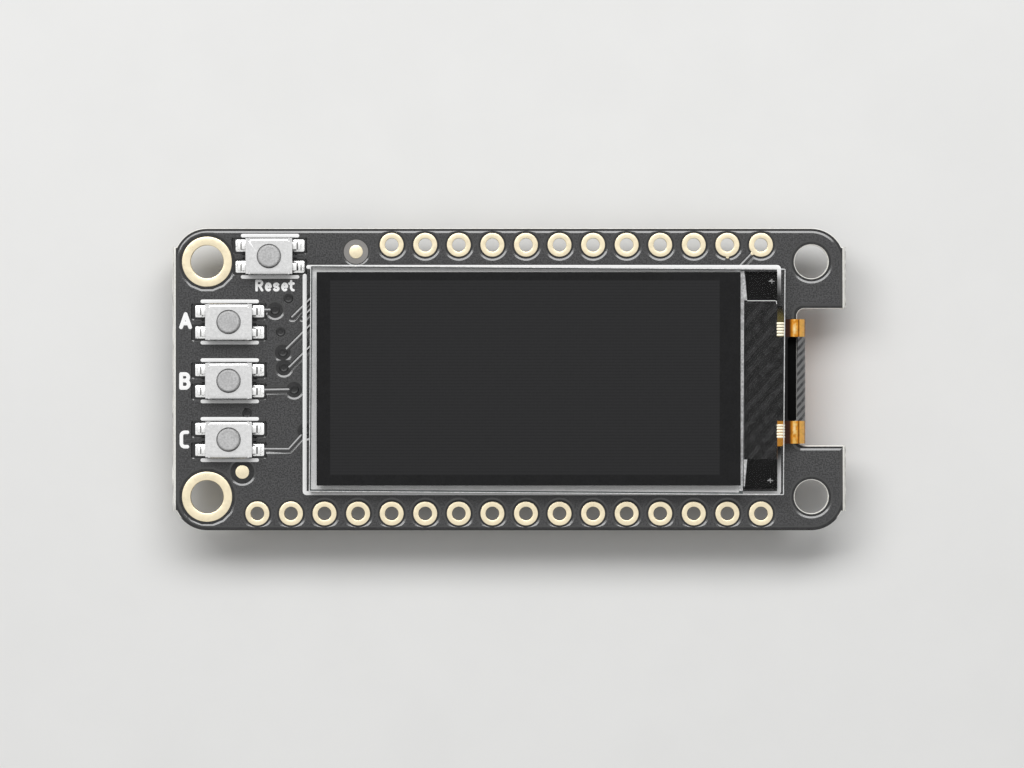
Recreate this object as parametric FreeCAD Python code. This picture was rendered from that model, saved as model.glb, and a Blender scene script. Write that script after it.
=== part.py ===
import FreeCAD, Part

import math
import os

from FreeCAD import Vector

# A small monochrome display board: a black circuit board that carries a glass display
# on a folded flexible cable, four push switches, two rows of plated pin holes and,
# underneath, a cable socket and the small parts that run the display.
# Origin: centre of the four mounting holes on the board's underside.
# +X towards the notched end, +Y towards the short pin row, +Z out of the display.

# Circuit board outline; its length follows from the display and the room at each end
switch_end_room = 10.32      # from the board's end to the display glass, beside the switches
cable_end_room = 4.58        # from the display glass to the board's notched end
board_width = 22.86
board_thickness = 1.6
corner_radius = 2.54
broken_edge_lip = 0.1        # the broken-off ends stand this far out of the routed outline
broken_edge_start = 1.45     # from the board's side to the start of each broken end
score_run = 0.23             # each end was scored from both faces before it was broken off
score_web = 0.5              # thickness that was left to break
notch_depth = 3.62
notch_width = 10.35
notch_offset = 0.155
notch_corner_radius = 0.55

# Holes as drilled: the plating that lines them, the copper and the print are a few
# hundredths of a millimetre thick and belong to the board's finish
mounting_hole_inset = 2.54
mounting_hole_diameter = 2.54
pin_pitch = 2.54
pin_row_inset = 1.27
pin_row_end_inset = 6.35
pin_hole_diameter = 1.12     # its plating leaves 1.02
first_row_pin_count = 16     # the row at -Y
second_row_pin_count = 12    # the row at +Y

# Display stack, from the board up
foam_thickness = 0.3
foam_margin = 0.6
back_glass_thickness = 0.6
front_glass_thickness = 0.55
front_glass_length = 35.9
front_glass_width = 17.1
glass_centre_y = -0.08
glass_turn = -0.4            # degrees: the glass is stuck on slightly askew
ledge_length = 3.1           # bare strip of front glass past the back glass
glass_recess_depth = 0.25
glass_rim = 1.2
desiccant_thickness = 0.15
desiccant_margin = 0.5
polariser_thickness = 0.2
polariser_left_margin = 0.535    # bare glass on each side of the film
polariser_right_margin = 0.235
polariser_low_margin = 0.595
polariser_high_margin = 0.375

# Flexible cable of the display
flex_thickness = 0.1
bonded_length = 2.5
bonded_width = 11.96
bonded_centre_y = -0.05
bonded_taper = 0.55
flex_width = 9.4
flex_centre_y = -0.17
fold_clearance = 0.53        # from the notch's inner wall to the inside of the fold
upper_bend_radius = 1.0
lower_bend_radius = 0.3
tail_length = 3.4
upper_shoulder = 1.0         # the cable is this much wider under the glass, above its neck
lower_shoulder = 0.2
shoulder_run = 0.2           # length over which each shoulder narrows to the neck
slot_length = 6.37
slot_offset_y = 0.195        # from the cable's middle line to the slot's
slot_width = 0.7
slot_gap = 0.73              # from the slot to the notch's inner wall, inwards
slot_corner_radius = 0.25
finger_count = 15
finger_pitch = 0.62
finger_width = 0.36
finger_solder_length = 0.8
finger_solder_height = 0.08
driver_length = 9.0
driver_width = 1.1
driver_thickness = 0.3

# Light-tight tape on the ledge
tape_thickness = 0.06
tape_margin = 0.35
tape_slant = 0.2
tape_gap = 0.03             # from the back glass's end to the tape

# Push switches
button_column_inset = 4.2
button_pitch = 4.445
middle_button_y = -0.12
reset_gap = 3.07             # from the display glass to the reset switch's centre
reset_inset_y = 2.13
switch_length = 3.54
switch_width = 2.85
switch_height = 1.4
cover_sheet = 0.15
cover_bend_radius = 0.2
cover_hole_diameter = 1.83
flange_length = 2.86
flange_drop = 0.85
corner_relief = 0.3          # depth of the slot beside each end of a flange
relief_slot = 0.12           # width of that slot
ear_setback = 0.08           # the corner beyond the slot ends this far inside the flange
plunger_diameter = 1.65
plunger_rise = 0.5
plunger_edge = 0.08
plunger_collar_diameter = 2.0
well_diameter = 2.2
well_floor = 0.45
dome_length = 2.0
dome_width = 0.9
dome_height = 0.3
dome_sheet = 0.05
running_gap = 0.03
leg_sheet = 0.12
leg_width = 0.56
leg_spacing = 1.6
leg_height = 0.55
leg_root = 0.25
leg_shoulder = 0.26
leg_reach = 0.6
leg_slope = 0.1
leg_solder_length = 0.72
leg_solder_width = 0.96
leg_solder_gap = 0.09
leg_solder_height = 0.2

# Cable socket on the underside
socket_pin_count = 4
socket_pitch = 1.0
socket_cheek = 1.5
socket_depth = 4.25
socket_height = 2.95
socket_end_inset = 0.15
socket_offset_y = 0.0
socket_wall = 0.5
socket_floor = 0.75
mouth_depth = 3.3
contact_sheet = 0.2
contact_width = 0.3
contact_height = 1.45
contact_foot = 0.75
contact_length = 2.4
contact_slope = 0.12
tab_sheet = 0.2
tab_length = 1.2
tab_rise = 1.4
tab_foot = 0.6
tab_setback = 0.6

# Reset chip on the underside
chip_place = (-6.0, 4.0)
chip_length = 2.9
chip_width = 1.5
chip_height = 1.1
chip_standoff = 0.1
chip_lead_sheet = 0.12
chip_lead_width = 0.4
chip_lead_pitch = 0.95
chip_lead_height = 0.55
chip_lead_reach = 0.65
chip_lead_shoulder = 0.15
chip_lead_slope = 0.1

# Small ceramic parts on the underside
capacitor_size = (1.6, 0.8, 0.8)
capacitor_count = 7
capacitor_pitch = 2.1
capacitor_column_gap = 2.6   # from the flexible cable's solder to the column
resistor_size = (1.6, 0.8, 0.45)
resistor_count = 6
resistor_pitch = 1.9
resistor_column_x = -14.0
terminal_share = 0.22
part_solder_reach = 0.3
part_solder_rise = 0.35

# Levels and places that several parts share
board_length = switch_end_room + front_glass_length + cable_end_room
half_length = board_length / 2
half_width = board_width / 2
notch_wall_x = half_length - notch_depth
foam_top = board_thickness + foam_thickness
back_glass_top = foam_top + back_glass_thickness
front_glass_top = back_glass_top + front_glass_thickness
glass_left_x = switch_end_room - half_length
glass_right_x = half_length - cable_end_room
glass_centre_x = (glass_left_x + glass_right_x) / 2


# Basic forms

def block(x_span, y_span, z_span):
    """Return a block between three pairs of limits."""
    size = [span[1] - span[0] for span in (x_span, y_span, z_span)]
    return Part.makeBox(*size, Vector(x_span[0], y_span[0], z_span[0]))


def centred_block(x, y, length, width, z_low, z_high):
    """Return a block given by its centre in plan, its size and its two levels."""
    x_span = (x - length / 2, x + length / 2)
    y_span = (y - width / 2, y + width / 2)
    return block(x_span, y_span, (z_low, z_high))


def disc(place, diameter, z_low, z_high):
    """Return an upright cylinder between two levels."""
    return Part.makeCylinder(diameter / 2, z_high - z_low, Vector(place[0], place[1], z_low))


def prism(corners, z_low, z_high):
    """Return a prism on a polygon of plan corners."""
    points = [Vector(x, y, z_low) for x, y in corners]
    face = Part.Face(Part.makePolygon(points + points[:1]))
    return face.extrude(Vector(0, 0, z_high - z_low))


def side_prism(corners, y_low, y_high):
    """Return a prism along Y on a polygon of (x, z) corners."""
    points = [Vector(x, y_low, z) for x, z in corners]
    face = Part.Face(Part.makePolygon(points + points[:1]))
    return face.extrude(Vector(0, y_high - y_low, 0))


def bent_sheet(path, bend_radii, sheet, y_low, y_high):
    """Return a sheet of even thickness, bent in the XZ plane and extruded along Y.

    path is the middle line's corners as (x, z) pairs. bend_radii has the middle line's
    radius at each inner corner, and a radius of 0 is a sharp fold.
    """
    points = [Vector(x, y_low, z) for x, z in path]
    runs = [(b - a).normalize() for a, b in zip(points, points[1:])]
    outlines = []
    for shift in (sheet / 2, -sheet / 2):
        start = points[0] + left_of(runs[0]) * shift
        edges = []
        for corner, radius, before, after in zip(points[1:-1], bend_radii, runs, runs[1:]):
            turn = math.atan2(before.x * after.z - before.z * after.x, before.dot(after))
            way = math.copysign(1, turn)
            reach = radius * math.tan(abs(turn) / 2)
            bisector = (left_of(before) + left_of(after)).normalize()
            fold = corner + bisector * (shift / math.cos(turn / 2))
            if radius:
                centre = corner + bisector * (way * radius / math.cos(turn / 2))
                fold = corner - before * reach + left_of(before) * shift
                bend_end = corner + after * reach + left_of(after) * shift
                bend_middle = centre - bisector * (way * radius - shift)
                edges.append(Part.LineSegment(start, fold).toShape())
                edges.append(Part.Arc(fold, bend_middle, bend_end).toShape())
                start = bend_end
            else:
                edges.append(Part.LineSegment(start, fold).toShape())
                start = fold
        end = points[-1] + left_of(runs[-1]) * shift
        edges.append(Part.LineSegment(start, end).toShape())
        outlines.append((edges, points[0] + left_of(runs[0]) * shift, end))
    (left, left_start, left_end), (right, right_start, right_end) = outlines
    tip = Part.LineSegment(left_end, right_end).toShape()
    root = Part.LineSegment(right_start, left_start).toShape()
    wire = Part.Wire(Part.__sortEdges__(left + [tip] + right + [root]))
    return Part.Face(wire).extrude(Vector(0, y_high - y_low, 0))


def left_of(direction):
    """Return the direction a quarter turn to the left in the XZ plane."""
    return Vector(-direction.z, 0, direction.x)


def mound(low, high, z_low, z_high):
    """Return a block that tapers from one plan rectangle to another, each (x0, x1, y0, y1)."""
    wires = []
    for (x0, x1, y0, y1), z in ((low, z_low), (high, z_high)):
        corners = [Vector(x0, y0, z), Vector(x1, y0, z), Vector(x1, y1, z), Vector(x0, y1, z)]
        wires.append(Part.makePolygon(corners + corners[:1]))
    return Part.makeLoft(wires, True, True)


def union(shapes):
    """Return one solid from shapes that share faces or volume."""
    return shapes[0].fuse(shapes[1:]).removeSplitter()


def both_ways(shape, x):
    """Return a shape and its mirror image about the plane at x."""
    return [shape, shape.mirror(Vector(x, 0, 0), Vector(1, 0, 0))]


def underside(shape):
    """Return a shape that was drawn above level zero, turned onto the board's underside."""
    return shape.mirror(Vector(0, 0, 0), Vector(0, 0, 1))


def turned_with_glass(shape):
    """Return a shape turned by the small angle at which the glass is stuck on."""
    turned = shape.copy()
    turned.rotate(Vector(glass_centre_x, glass_centre_y, 0), Vector(0, 0, 1), glass_turn)
    return turned


# Circuit board

def mounting_hole_places():
    """Return the four mounting hole centres."""
    x = half_length - mounting_hole_inset
    y = half_width - mounting_hole_inset
    return [(-x, y), (-x, -y), (x, y), (x, -y)]


def pin_hole_places(count, side):
    """Return the centres of one pin row, side being 1 for the row at +Y."""
    last_x = half_length - pin_row_end_inset
    y = side * (half_width - pin_row_inset)
    return [(last_x - pin_pitch * (count - 1 - i), y) for i in range(count)]


def circuit_board():
    """Return the board with its notch and every drilled hole."""
    plate = centred_block(0, 0, board_length, board_width, 0, board_thickness)
    upright = [e for e in plate.Edges if abs(e.tangentAt(e.FirstParameter).z) > 0.9]
    plate = plate.makeFillet(corner_radius, upright)
    lip_y = half_width - broken_edge_start
    root = half_length + broken_edge_lip - score_run
    ends = centred_block(0, 0, board_length, 2 * lip_y, 0, board_thickness)
    plate = plate.cut(ends.cut(centred_block(0, 0, 2 * root, 2 * lip_y, 0, board_thickness)))
    lips = scored_strip(root, lip_y)
    notch_x = (notch_wall_x, half_length + 2 * broken_edge_lip + notch_corner_radius)
    notch_y = (notch_offset - notch_width / 2, notch_offset + notch_width / 2)
    notch = block(notch_x, notch_y, (-1, board_thickness + 1))
    inner = [e for e in notch.Edges if is_upright_at(e, notch_wall_x)]
    notch = notch.makeFillet(notch_corner_radius, inner)
    drill = [notch]
    for place in mounting_hole_places():
        drill.append(disc(place, mounting_hole_diameter, -1, board_thickness + 1))
    for place in pin_hole_places(second_row_pin_count, 1) + pin_hole_places(first_row_pin_count, -1):
        drill.append(disc(place, pin_hole_diameter, -1, board_thickness + 1))
    return union([plate, lips]).cut(drill)


def scored_strip(root, lip_y):
    """Return the board between its broken ends, each end a V that leaves a thin web."""
    tip = root + score_run
    web_low = (board_thickness - score_web) / 2
    web_high = board_thickness - web_low
    right = [(root, 0), (tip, web_low), (tip, web_high), (root, board_thickness)]
    left = [(-x, z) for x, z in reversed(right)]
    return side_prism(right + left, -lip_y, lip_y)


def is_upright_at(edge, x):
    """Say whether an edge is upright and lies at the given x."""
    upright = abs(edge.tangentAt(edge.FirstParameter).z) > 0.9
    return upright and abs(edge.CenterOfMass.x - x) < 1e-6


# Display

back_glass_length = front_glass_length - ledge_length
back_glass_centre_x = glass_left_x + back_glass_length / 2


def display_front_glass():
    """Return the front glass, which carries the pixels on its lower face."""
    plate = centred_block(glass_centre_x, glass_centre_y, front_glass_length, front_glass_width,
                          back_glass_top, front_glass_top)
    return turned_with_glass(plate)


def display_back_glass():
    """Return the cover glass behind the pixels, hollowed out for the drying sheet."""
    plate = centred_block(back_glass_centre_x, glass_centre_y, back_glass_length,
                          front_glass_width, foam_top, back_glass_top)
    recess = centred_block(back_glass_centre_x, glass_centre_y,
                           back_glass_length - 2 * glass_rim,
                           front_glass_width - 2 * glass_rim,
                           back_glass_top - glass_recess_depth, back_glass_top)
    return turned_with_glass(plate.cut(recess))


def desiccant_sheet():
    """Return the drying sheet stuck in the back glass's hollow."""
    floor = back_glass_top - glass_recess_depth
    inset = 2 * (glass_rim + desiccant_margin)
    sheet = centred_block(back_glass_centre_x, glass_centre_y, back_glass_length - inset,
                          front_glass_width - inset, floor, floor + desiccant_thickness)
    return turned_with_glass(sheet)


def foam_tape():
    """Return the double-sided foam that holds the back glass on the board."""
    tape = centred_block(back_glass_centre_x, glass_centre_y,
                         back_glass_length - 2 * foam_margin,
                         front_glass_width - 2 * foam_margin, board_thickness, foam_top)
    return turned_with_glass(tape)


def polariser_film():
    """Return the dark polarising film on the front glass."""
    x_span = (glass_left_x + polariser_left_margin,
              glass_left_x + back_glass_length - polariser_right_margin)
    y_span = (glass_centre_y - front_glass_width / 2 + polariser_low_margin,
              glass_centre_y + front_glass_width / 2 - polariser_high_margin)
    return block(x_span, y_span, (front_glass_top, front_glass_top + polariser_thickness))


# Flexible cable

bonded_start_x = glass_right_x - bonded_taper - bonded_length
bonded_end_x = bonded_start_x + bonded_length
fold_x = notch_wall_x + fold_clearance + flex_thickness / 2
tail_end_x = notch_wall_x - tail_length
flex_low_y = flex_centre_y - flex_width / 2
flex_high_y = flex_centre_y + flex_width / 2


def flex_cable():
    """Return the cable: bonded under the ledge, folded round the board and run back below it."""
    bonded_low_y = bonded_centre_y - bonded_width / 2
    bonded_high_y = bonded_centre_y + bonded_width / 2
    shoulder_x = glass_right_x - shoulder_run
    shoulder_low_y = flex_low_y - lower_shoulder
    shoulder_high_y = flex_high_y + upper_shoulder
    bonded = prism(
        [(bonded_start_x, bonded_low_y), (bonded_end_x, bonded_low_y),
         (bonded_end_x, shoulder_low_y), (shoulder_x, shoulder_low_y),
         (glass_right_x, flex_low_y), (glass_right_x, flex_high_y),
         (shoulder_x, shoulder_high_y), (bonded_end_x, shoulder_high_y),
         (bonded_end_x, bonded_high_y), (bonded_start_x, bonded_high_y)],
        back_glass_top - flex_thickness, back_glass_top)
    upper_z = back_glass_top - flex_thickness / 2
    lower_z = -flex_thickness / 2
    path = [(glass_right_x, upper_z), (fold_x, upper_z), (fold_x, lower_z), (tail_end_x, lower_z)]
    bends = [upper_bend_radius, lower_bend_radius]
    folded = bent_sheet(path, bends, flex_thickness, flex_low_y, flex_high_y)
    slot_right = notch_wall_x - slot_gap + slot_width
    slot_centre_y = flex_centre_y + slot_offset_y
    slot = block((slot_right - slot_width, slot_right),
                 (slot_centre_y - slot_length / 2, slot_centre_y + slot_length / 2),
                 (board_thickness, front_glass_top))
    corners = [e for e in slot.Edges if abs(e.tangentAt(e.FirstParameter).z) > 0.9]
    return union([bonded, folded]).cut(slot.makeFillet(slot_corner_radius, corners))


def ledge_tape():
    """Return the two black tape patches under the ledge, beside the bonded cable."""
    left_x = bonded_start_x + tape_gap
    right_x = bonded_end_x
    low, high = back_glass_top - tape_thickness, back_glass_top
    patches = []
    for side in (1, -1):
        outer_y = glass_centre_y + side * (front_glass_width / 2 - tape_margin)
        inner_y = bonded_centre_y + side * bonded_width / 2
        patches.append(prism([(left_x + tape_slant, inner_y), (right_x, inner_y),
                              (right_x, outer_y), (left_x, outer_y)], low, high))
    return Part.makeCompound(patches)


def driver_chip():
    """Return the display driver, bonded under the cable's wide end."""
    top = back_glass_top - flex_thickness
    return centred_block((bonded_start_x + bonded_end_x) / 2, bonded_centre_y, driver_width,
                         driver_length, top - driver_thickness, top)


def finger_places():
    """Return the y of each soldered finger of the cable's tail."""
    middle = (finger_count - 1) / 2
    return [flex_centre_y + finger_pitch * (i - middle) for i in range(finger_count)]


def flex_solder():
    """Return the solder bead that joins each finger of the tail to the board."""
    beads = []
    crest = flex_thickness + finger_solder_height
    near, far = tail_end_x + finger_solder_length, tail_end_x - finger_solder_length
    corners = [(far, 0), (tail_end_x, 0), (tail_end_x, flex_thickness), (near, flex_thickness),
               ((near + tail_end_x) / 2, crest), ((far + tail_end_x) / 2, crest)]
    for y in finger_places():
        bead = side_prism(corners, y - finger_width / 2, y + finger_width / 2)
        beads.append(underside(bead))
    return Part.makeCompound(beads)


# Push switches, drawn at the origin on level zero and then moved to their places

def switch_places():
    """Return each switch's name and centre."""
    column_x = button_column_inset - half_length
    return {
        "switch_reset": (glass_left_x - reset_gap, half_width - reset_inset_y),
        "switch_a": (column_x, middle_button_y + button_pitch),
        "switch_b": (column_x, middle_button_y),
        "switch_c": (column_x, middle_button_y - button_pitch),
    }


cover_underside = switch_height - cover_sheet
switch_end = switch_length / 2
leg_foot_z = leg_sheet / 2


def switch_leg(y):
    """Return the leg at one corner, bent from the housing's end down to its pad."""
    foot_x = switch_end + leg_shoulder + leg_slope
    path = [(switch_end - leg_root, leg_height), (switch_end + leg_shoulder, leg_height),
            (foot_x, leg_foot_z), (switch_end + leg_reach, leg_foot_z)]
    return bent_sheet(path, [0, 0], leg_sheet, y - leg_width / 2, y + leg_width / 2)


def switch_legs():
    """Return the four legs as separate solids."""
    legs = []
    for y in (-leg_spacing / 2, leg_spacing / 2):
        legs += both_ways(switch_leg(y), 0)
    return legs


def switch_base():
    """Return the moulded housing with the well for the snap dome and a slot for each leg."""
    body = centred_block(0, 0, switch_length, switch_width - 2 * cover_sheet, 0, cover_underside)
    long_edges = [e for e in body.Edges if is_long_top_edge(e)]
    body = body.makeChamfer(cover_bend_radius - cover_sheet / 2, long_edges)
    well = disc((0, 0), well_diameter, well_floor, cover_underside)
    slots = []
    for y in (-leg_spacing / 2, leg_spacing / 2):
        slot = block((switch_end - leg_root, switch_end),
                     (y - leg_width / 2, y + leg_width / 2),
                     (leg_height - leg_sheet / 2, leg_height + leg_sheet / 2))
        slots += both_ways(slot, 0)
    return body.cut([well] + slots)


def is_long_top_edge(edge):
    """Say whether an edge of the housing's block runs along X at its top."""
    along = abs(edge.tangentAt(edge.FirstParameter).x) > 0.9
    return along and abs(edge.CenterOfMass.z - cover_underside) < 1e-6


def switch_dome():
    """Return the snap spring, a strip of thin sheet arched across the well's floor."""
    half = dome_length / 2
    radius = (half ** 2 + dome_height ** 2) / (2 * dome_height)
    centre_z = well_floor + dome_height - radius
    inner_half = math.sqrt((radius - dome_sheet) ** 2 - (well_floor - centre_z) ** 2)
    y = -dome_width / 2
    arcs = []
    for reach, arc_radius in ((half, radius), (inner_half, radius - dome_sheet)):
        ends = [Vector(side * reach, y, well_floor) for side in (-1, 1)]
        top = Vector(0, y, centre_z + arc_radius)
        arcs.append(Part.Arc(ends[0], top, ends[1]).toShape())
    feet = [Part.LineSegment(Vector(side * half, y, well_floor),
                             Vector(side * inner_half, y, well_floor)).toShape()
            for side in (-1, 1)]
    face = Part.Face(Part.Wire(Part.__sortEdges__(arcs + feet)))
    return face.extrude(Vector(0, dome_width, 0))


def switch_plunger():
    """Return the plunger: a collar held between the dome and the cover, and the button."""
    collar, stem = plunger_collar_diameter / 2, plunger_diameter / 2
    low = well_floor + dome_height + running_gap
    collar_top = cover_underside - running_gap
    top = switch_height + plunger_rise
    corners = [(0, low), (collar, low), (collar, collar_top), (stem, collar_top),
               (stem, top - plunger_edge), (stem - plunger_edge, top), (0, top)]
    points = [Vector(r, 0, z) for r, z in corners]
    face = Part.Face(Part.makePolygon(points + points[:1]))
    return face.revolve(Vector(0, 0, 0), Vector(0, 0, 1), 360)


def switch_cover():
    """Return the sheet-metal cover: a plate with a round hole, two bent flanges and four ears."""
    flange_z = switch_height - flange_drop
    side = switch_width / 2 - cover_sheet / 2
    sheet_z = switch_height - cover_sheet / 2
    path = [(-side, flange_z), (-side, sheet_z), (side, sheet_z), (side, flange_z)]
    folded = bent_sheet(path, [cover_bend_radius] * 2, cover_sheet,
                        -flange_length / 2, flange_length / 2)
    folded.rotate(Vector(0, 0, 0), Vector(0, 0, 1), 90)
    plate = centred_block(0, 0, switch_length, switch_width - 2 * corner_relief,
                          cover_underside, switch_height)
    ear = block((flange_length / 2 + relief_slot, switch_end),
                (switch_width / 2 - corner_relief, switch_width / 2 - ear_setback),
                (cover_underside, switch_height))
    hole = disc((0, 0), cover_hole_diameter, 0, switch_height + plunger_rise)
    return union([folded, plate] + four_ways(ear)).cut(hole)


def four_ways(shape):
    """Return a shape and its mirror images about the switch's two middle planes."""
    pair = [shape, shape.mirror(Vector(0, 0, 0), Vector(0, 1, 0))]
    return [copy for one in pair for copy in both_ways(one, 0)]


def switch_solder():
    """Return the four solder joints of a switch, each moulded round its leg's foot."""
    y = leg_spacing / 2
    near = switch_end + leg_solder_gap
    base = (near, near + leg_solder_length, y - leg_solder_width / 2, y + leg_solder_width / 2)
    crest = (switch_end + leg_shoulder, switch_end + leg_reach,
             y - leg_width / 2, y + leg_width / 2)
    joint = mound(base, crest, 0, leg_solder_height)
    return four_ways(joint.cut(switch_leg(y)))


def placed_on_top(shapes, place):
    """Return copies of shapes moved from the origin to a place on the board's top side."""
    moved = [shape.copy() for shape in shapes]
    for shape in moved:
        shape.translate(Vector(place[0], place[1], board_thickness))
    return moved


# Cable socket, drawn above level zero with its mouth towards -X

socket_width = socket_pitch * (socket_pin_count - 1) + 2 * socket_cheek
socket_mouth_x = socket_end_inset - half_length
socket_back_x = socket_mouth_x + socket_depth
socket_low_y = socket_offset_y - socket_width / 2
socket_high_y = socket_offset_y + socket_width / 2
contact_places = [socket_offset_y + socket_pitch * (i - (socket_pin_count - 1) / 2)
                  for i in range(socket_pin_count)]
contact_spans = [(y - contact_width / 2, y + contact_width / 2) for y in contact_places]


def socket_housing():
    """Return the moulded housing with its mouth and a passage for each contact."""
    body = block((socket_mouth_x, socket_back_x), (socket_low_y, socket_high_y),
                 (0, socket_height))
    mouth = block((socket_mouth_x, socket_mouth_x + mouth_depth),
                  (socket_low_y + socket_wall, socket_high_y - socket_wall),
                  (socket_floor, socket_height - socket_wall))
    passages = [block((socket_mouth_x + mouth_depth, socket_back_x), span,
                      (contact_height - contact_sheet / 2, contact_height + contact_sheet / 2))
                for span in contact_spans]
    return underside(body.cut([mouth] + passages))


def socket_contacts():
    """Return the contacts, each run from its foot up the back and into the mouth."""
    foot_z = contact_sheet / 2
    shoulder_x = socket_back_x + contact_sheet
    foot_x = shoulder_x + contact_slope
    path = [(foot_x + contact_foot, foot_z), (foot_x, foot_z), (shoulder_x, contact_height),
            (socket_mouth_x + mouth_depth - contact_length, contact_height)]
    return Part.makeCompound([underside(bent_sheet(path, [0, 0], contact_sheet, *span))
                              for span in contact_spans])


def socket_tabs():
    """Return the two solder tabs that hold the socket's cheeks to the board."""
    tab_x = (socket_mouth_x + tab_setback, socket_mouth_x + tab_setback + tab_length)
    tabs = []
    for side, wall_y in ((1, socket_high_y), (-1, socket_low_y)):
        upright_y = sorted((wall_y, wall_y + side * tab_sheet))
        foot_y = sorted((wall_y, wall_y + side * tab_foot))
        upright = block(tab_x, upright_y, (0, tab_rise))
        foot = block(tab_x, foot_y, (0, tab_sheet))
        tabs.append(underside(union([upright, foot])))
    return Part.makeCompound(tabs)


# Reset chip, drawn above level zero

def chip_body():
    """Return the moulded chip body, tapered above and below its leads."""
    x, y = chip_place
    body = centred_block(x, y, chip_length, chip_width, chip_standoff, chip_height)
    return underside(body)


def chip_lead_places():
    """Return the x and the side of each of the five leads."""
    x = chip_place[0]
    near = [(x + chip_lead_pitch * i, -1) for i in (-1, 0, 1)]
    far = [(x + chip_lead_pitch * i, 1) for i in (-1, 1)]
    return near + far


def chip_leads():
    """Return the five leads, bent from the chip's sides down to the board."""
    foot_z = chip_lead_sheet / 2
    shoulder = chip_width / 2 + chip_lead_shoulder
    path = [(chip_width / 2, chip_lead_height), (shoulder, chip_lead_height),
            (shoulder + chip_lead_slope, foot_z), (chip_width / 2 + chip_lead_reach, foot_z)]
    leads = []
    for x, side in chip_lead_places():
        lead = bent_sheet(path, [0, 0], chip_lead_sheet,
                          -chip_lead_width / 2, chip_lead_width / 2)
        lead.rotate(Vector(0, 0, 0), Vector(0, 0, 1), 90 * side)
        lead.translate(Vector(x, chip_place[1], 0))
        leads.append(underside(lead))
    return Part.makeCompound(leads)


# Small ceramic parts, each lying along X

def capacitor_places():
    """Return the centres of the column of capacitors beside the cable's tail."""
    x = tail_end_x - finger_solder_length - capacitor_column_gap
    middle = (capacitor_count - 1) / 2
    return [(x, flex_centre_y + capacitor_pitch * (i - middle)) for i in range(capacitor_count)]


def resistor_places():
    """Return the centres of the column of resistors behind the socket."""
    middle = (resistor_count - 1) / 2
    return [(resistor_column_x, socket_offset_y + resistor_pitch * (i - middle))
            for i in range(resistor_count)]


def ceramic_body(place, size):
    """Return the ceramic middle of a small part."""
    length, width, height = size
    middle = length * (1 - 2 * terminal_share)
    return underside(centred_block(*place, middle, width, 0, height))


def ceramic_ends(place, size):
    """Return the two metal end caps of a small part."""
    length, width, height = size
    cap = length * terminal_share
    centre_x = place[0] + length / 2 - cap / 2
    end = underside(centred_block(centre_x, place[1], cap, width, 0, height))
    return both_ways(end, place[0])


def ceramic_solder(place, size):
    """Return the solder wedge at each end of a small part."""
    length, width, height = size
    end = place[0] + length / 2
    corners = [(end, 0), (end + part_solder_reach, 0), (end, height * part_solder_rise)]
    wedge = underside(side_prism(corners, place[1] - width / 2, place[1] + width / 2))
    return both_ways(wedge, place[0])


def ceramic_group(make, places, size):
    """Return one kind of piece for every small part of a group."""
    pieces = []
    for place in places:
        made = make(place, size)
        pieces += made if isinstance(made, list) else [made]
    return pieces


# Every piece by name

def all_parts():
    """Return every node of the model by name."""
    capacitors = (capacitor_places(), capacitor_size)
    resistors = (resistor_places(), resistor_size)
    solder = []
    parts = {
        "circuit_board": circuit_board(),
        "foam_tape": foam_tape(),
        "display_back_glass": display_back_glass(),
        "desiccant_sheet": desiccant_sheet(),
        "display_front_glass": display_front_glass(),
        "polariser_film": polariser_film(),
        "flex_cable": flex_cable(),
        "flex_solder": flex_solder(),
        "ledge_tape": ledge_tape(),
        "driver_chip": driver_chip(),
    }
    for name, place in switch_places().items():
        pieces = {
            "base": [switch_base()],
            "legs": switch_legs(),
            "dome": [switch_dome()],
            "plunger": [switch_plunger()],
            "cover": [switch_cover()],
        }
        for piece, shapes in pieces.items():
            parts[f"{name}_{piece}"] = Part.makeCompound(placed_on_top(shapes, place))
        solder += placed_on_top(switch_solder(), place)
    parts["switch_solder"] = Part.makeCompound(solder)
    parts["socket_housing"] = socket_housing()
    parts["socket_contacts"] = socket_contacts()
    parts["socket_tabs"] = socket_tabs()
    parts["reset_chip_body"] = chip_body()
    parts["reset_chip_leads"] = chip_leads()
    parts["capacitor_bodies"] = Part.makeCompound(ceramic_group(ceramic_body, *capacitors))
    parts["capacitor_ends"] = Part.makeCompound(ceramic_group(ceramic_ends, *capacitors))
    parts["resistor_bodies"] = Part.makeCompound(ceramic_group(ceramic_body, *resistors))
    parts["resistor_ends"] = Part.makeCompound(ceramic_group(ceramic_ends, *resistors))
    wedges = ceramic_group(ceramic_solder, *capacitors)
    wedges += ceramic_group(ceramic_solder, *resistors)
    parts["underside_solder"] = Part.makeCompound(wedges)
    return parts


os.makedirs("parts", exist_ok=True)
for node, shape in all_parts().items():
    if not shape.isValid():
        raise ValueError(f"{node} is not a valid solid")
    shape.exportStep(f"parts/{node}.step")
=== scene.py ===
import logging
import math
from dataclasses import dataclass, field
from enum import Enum
from typing import Any, Callable, Iterable, Optional, Sequence, Union

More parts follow.
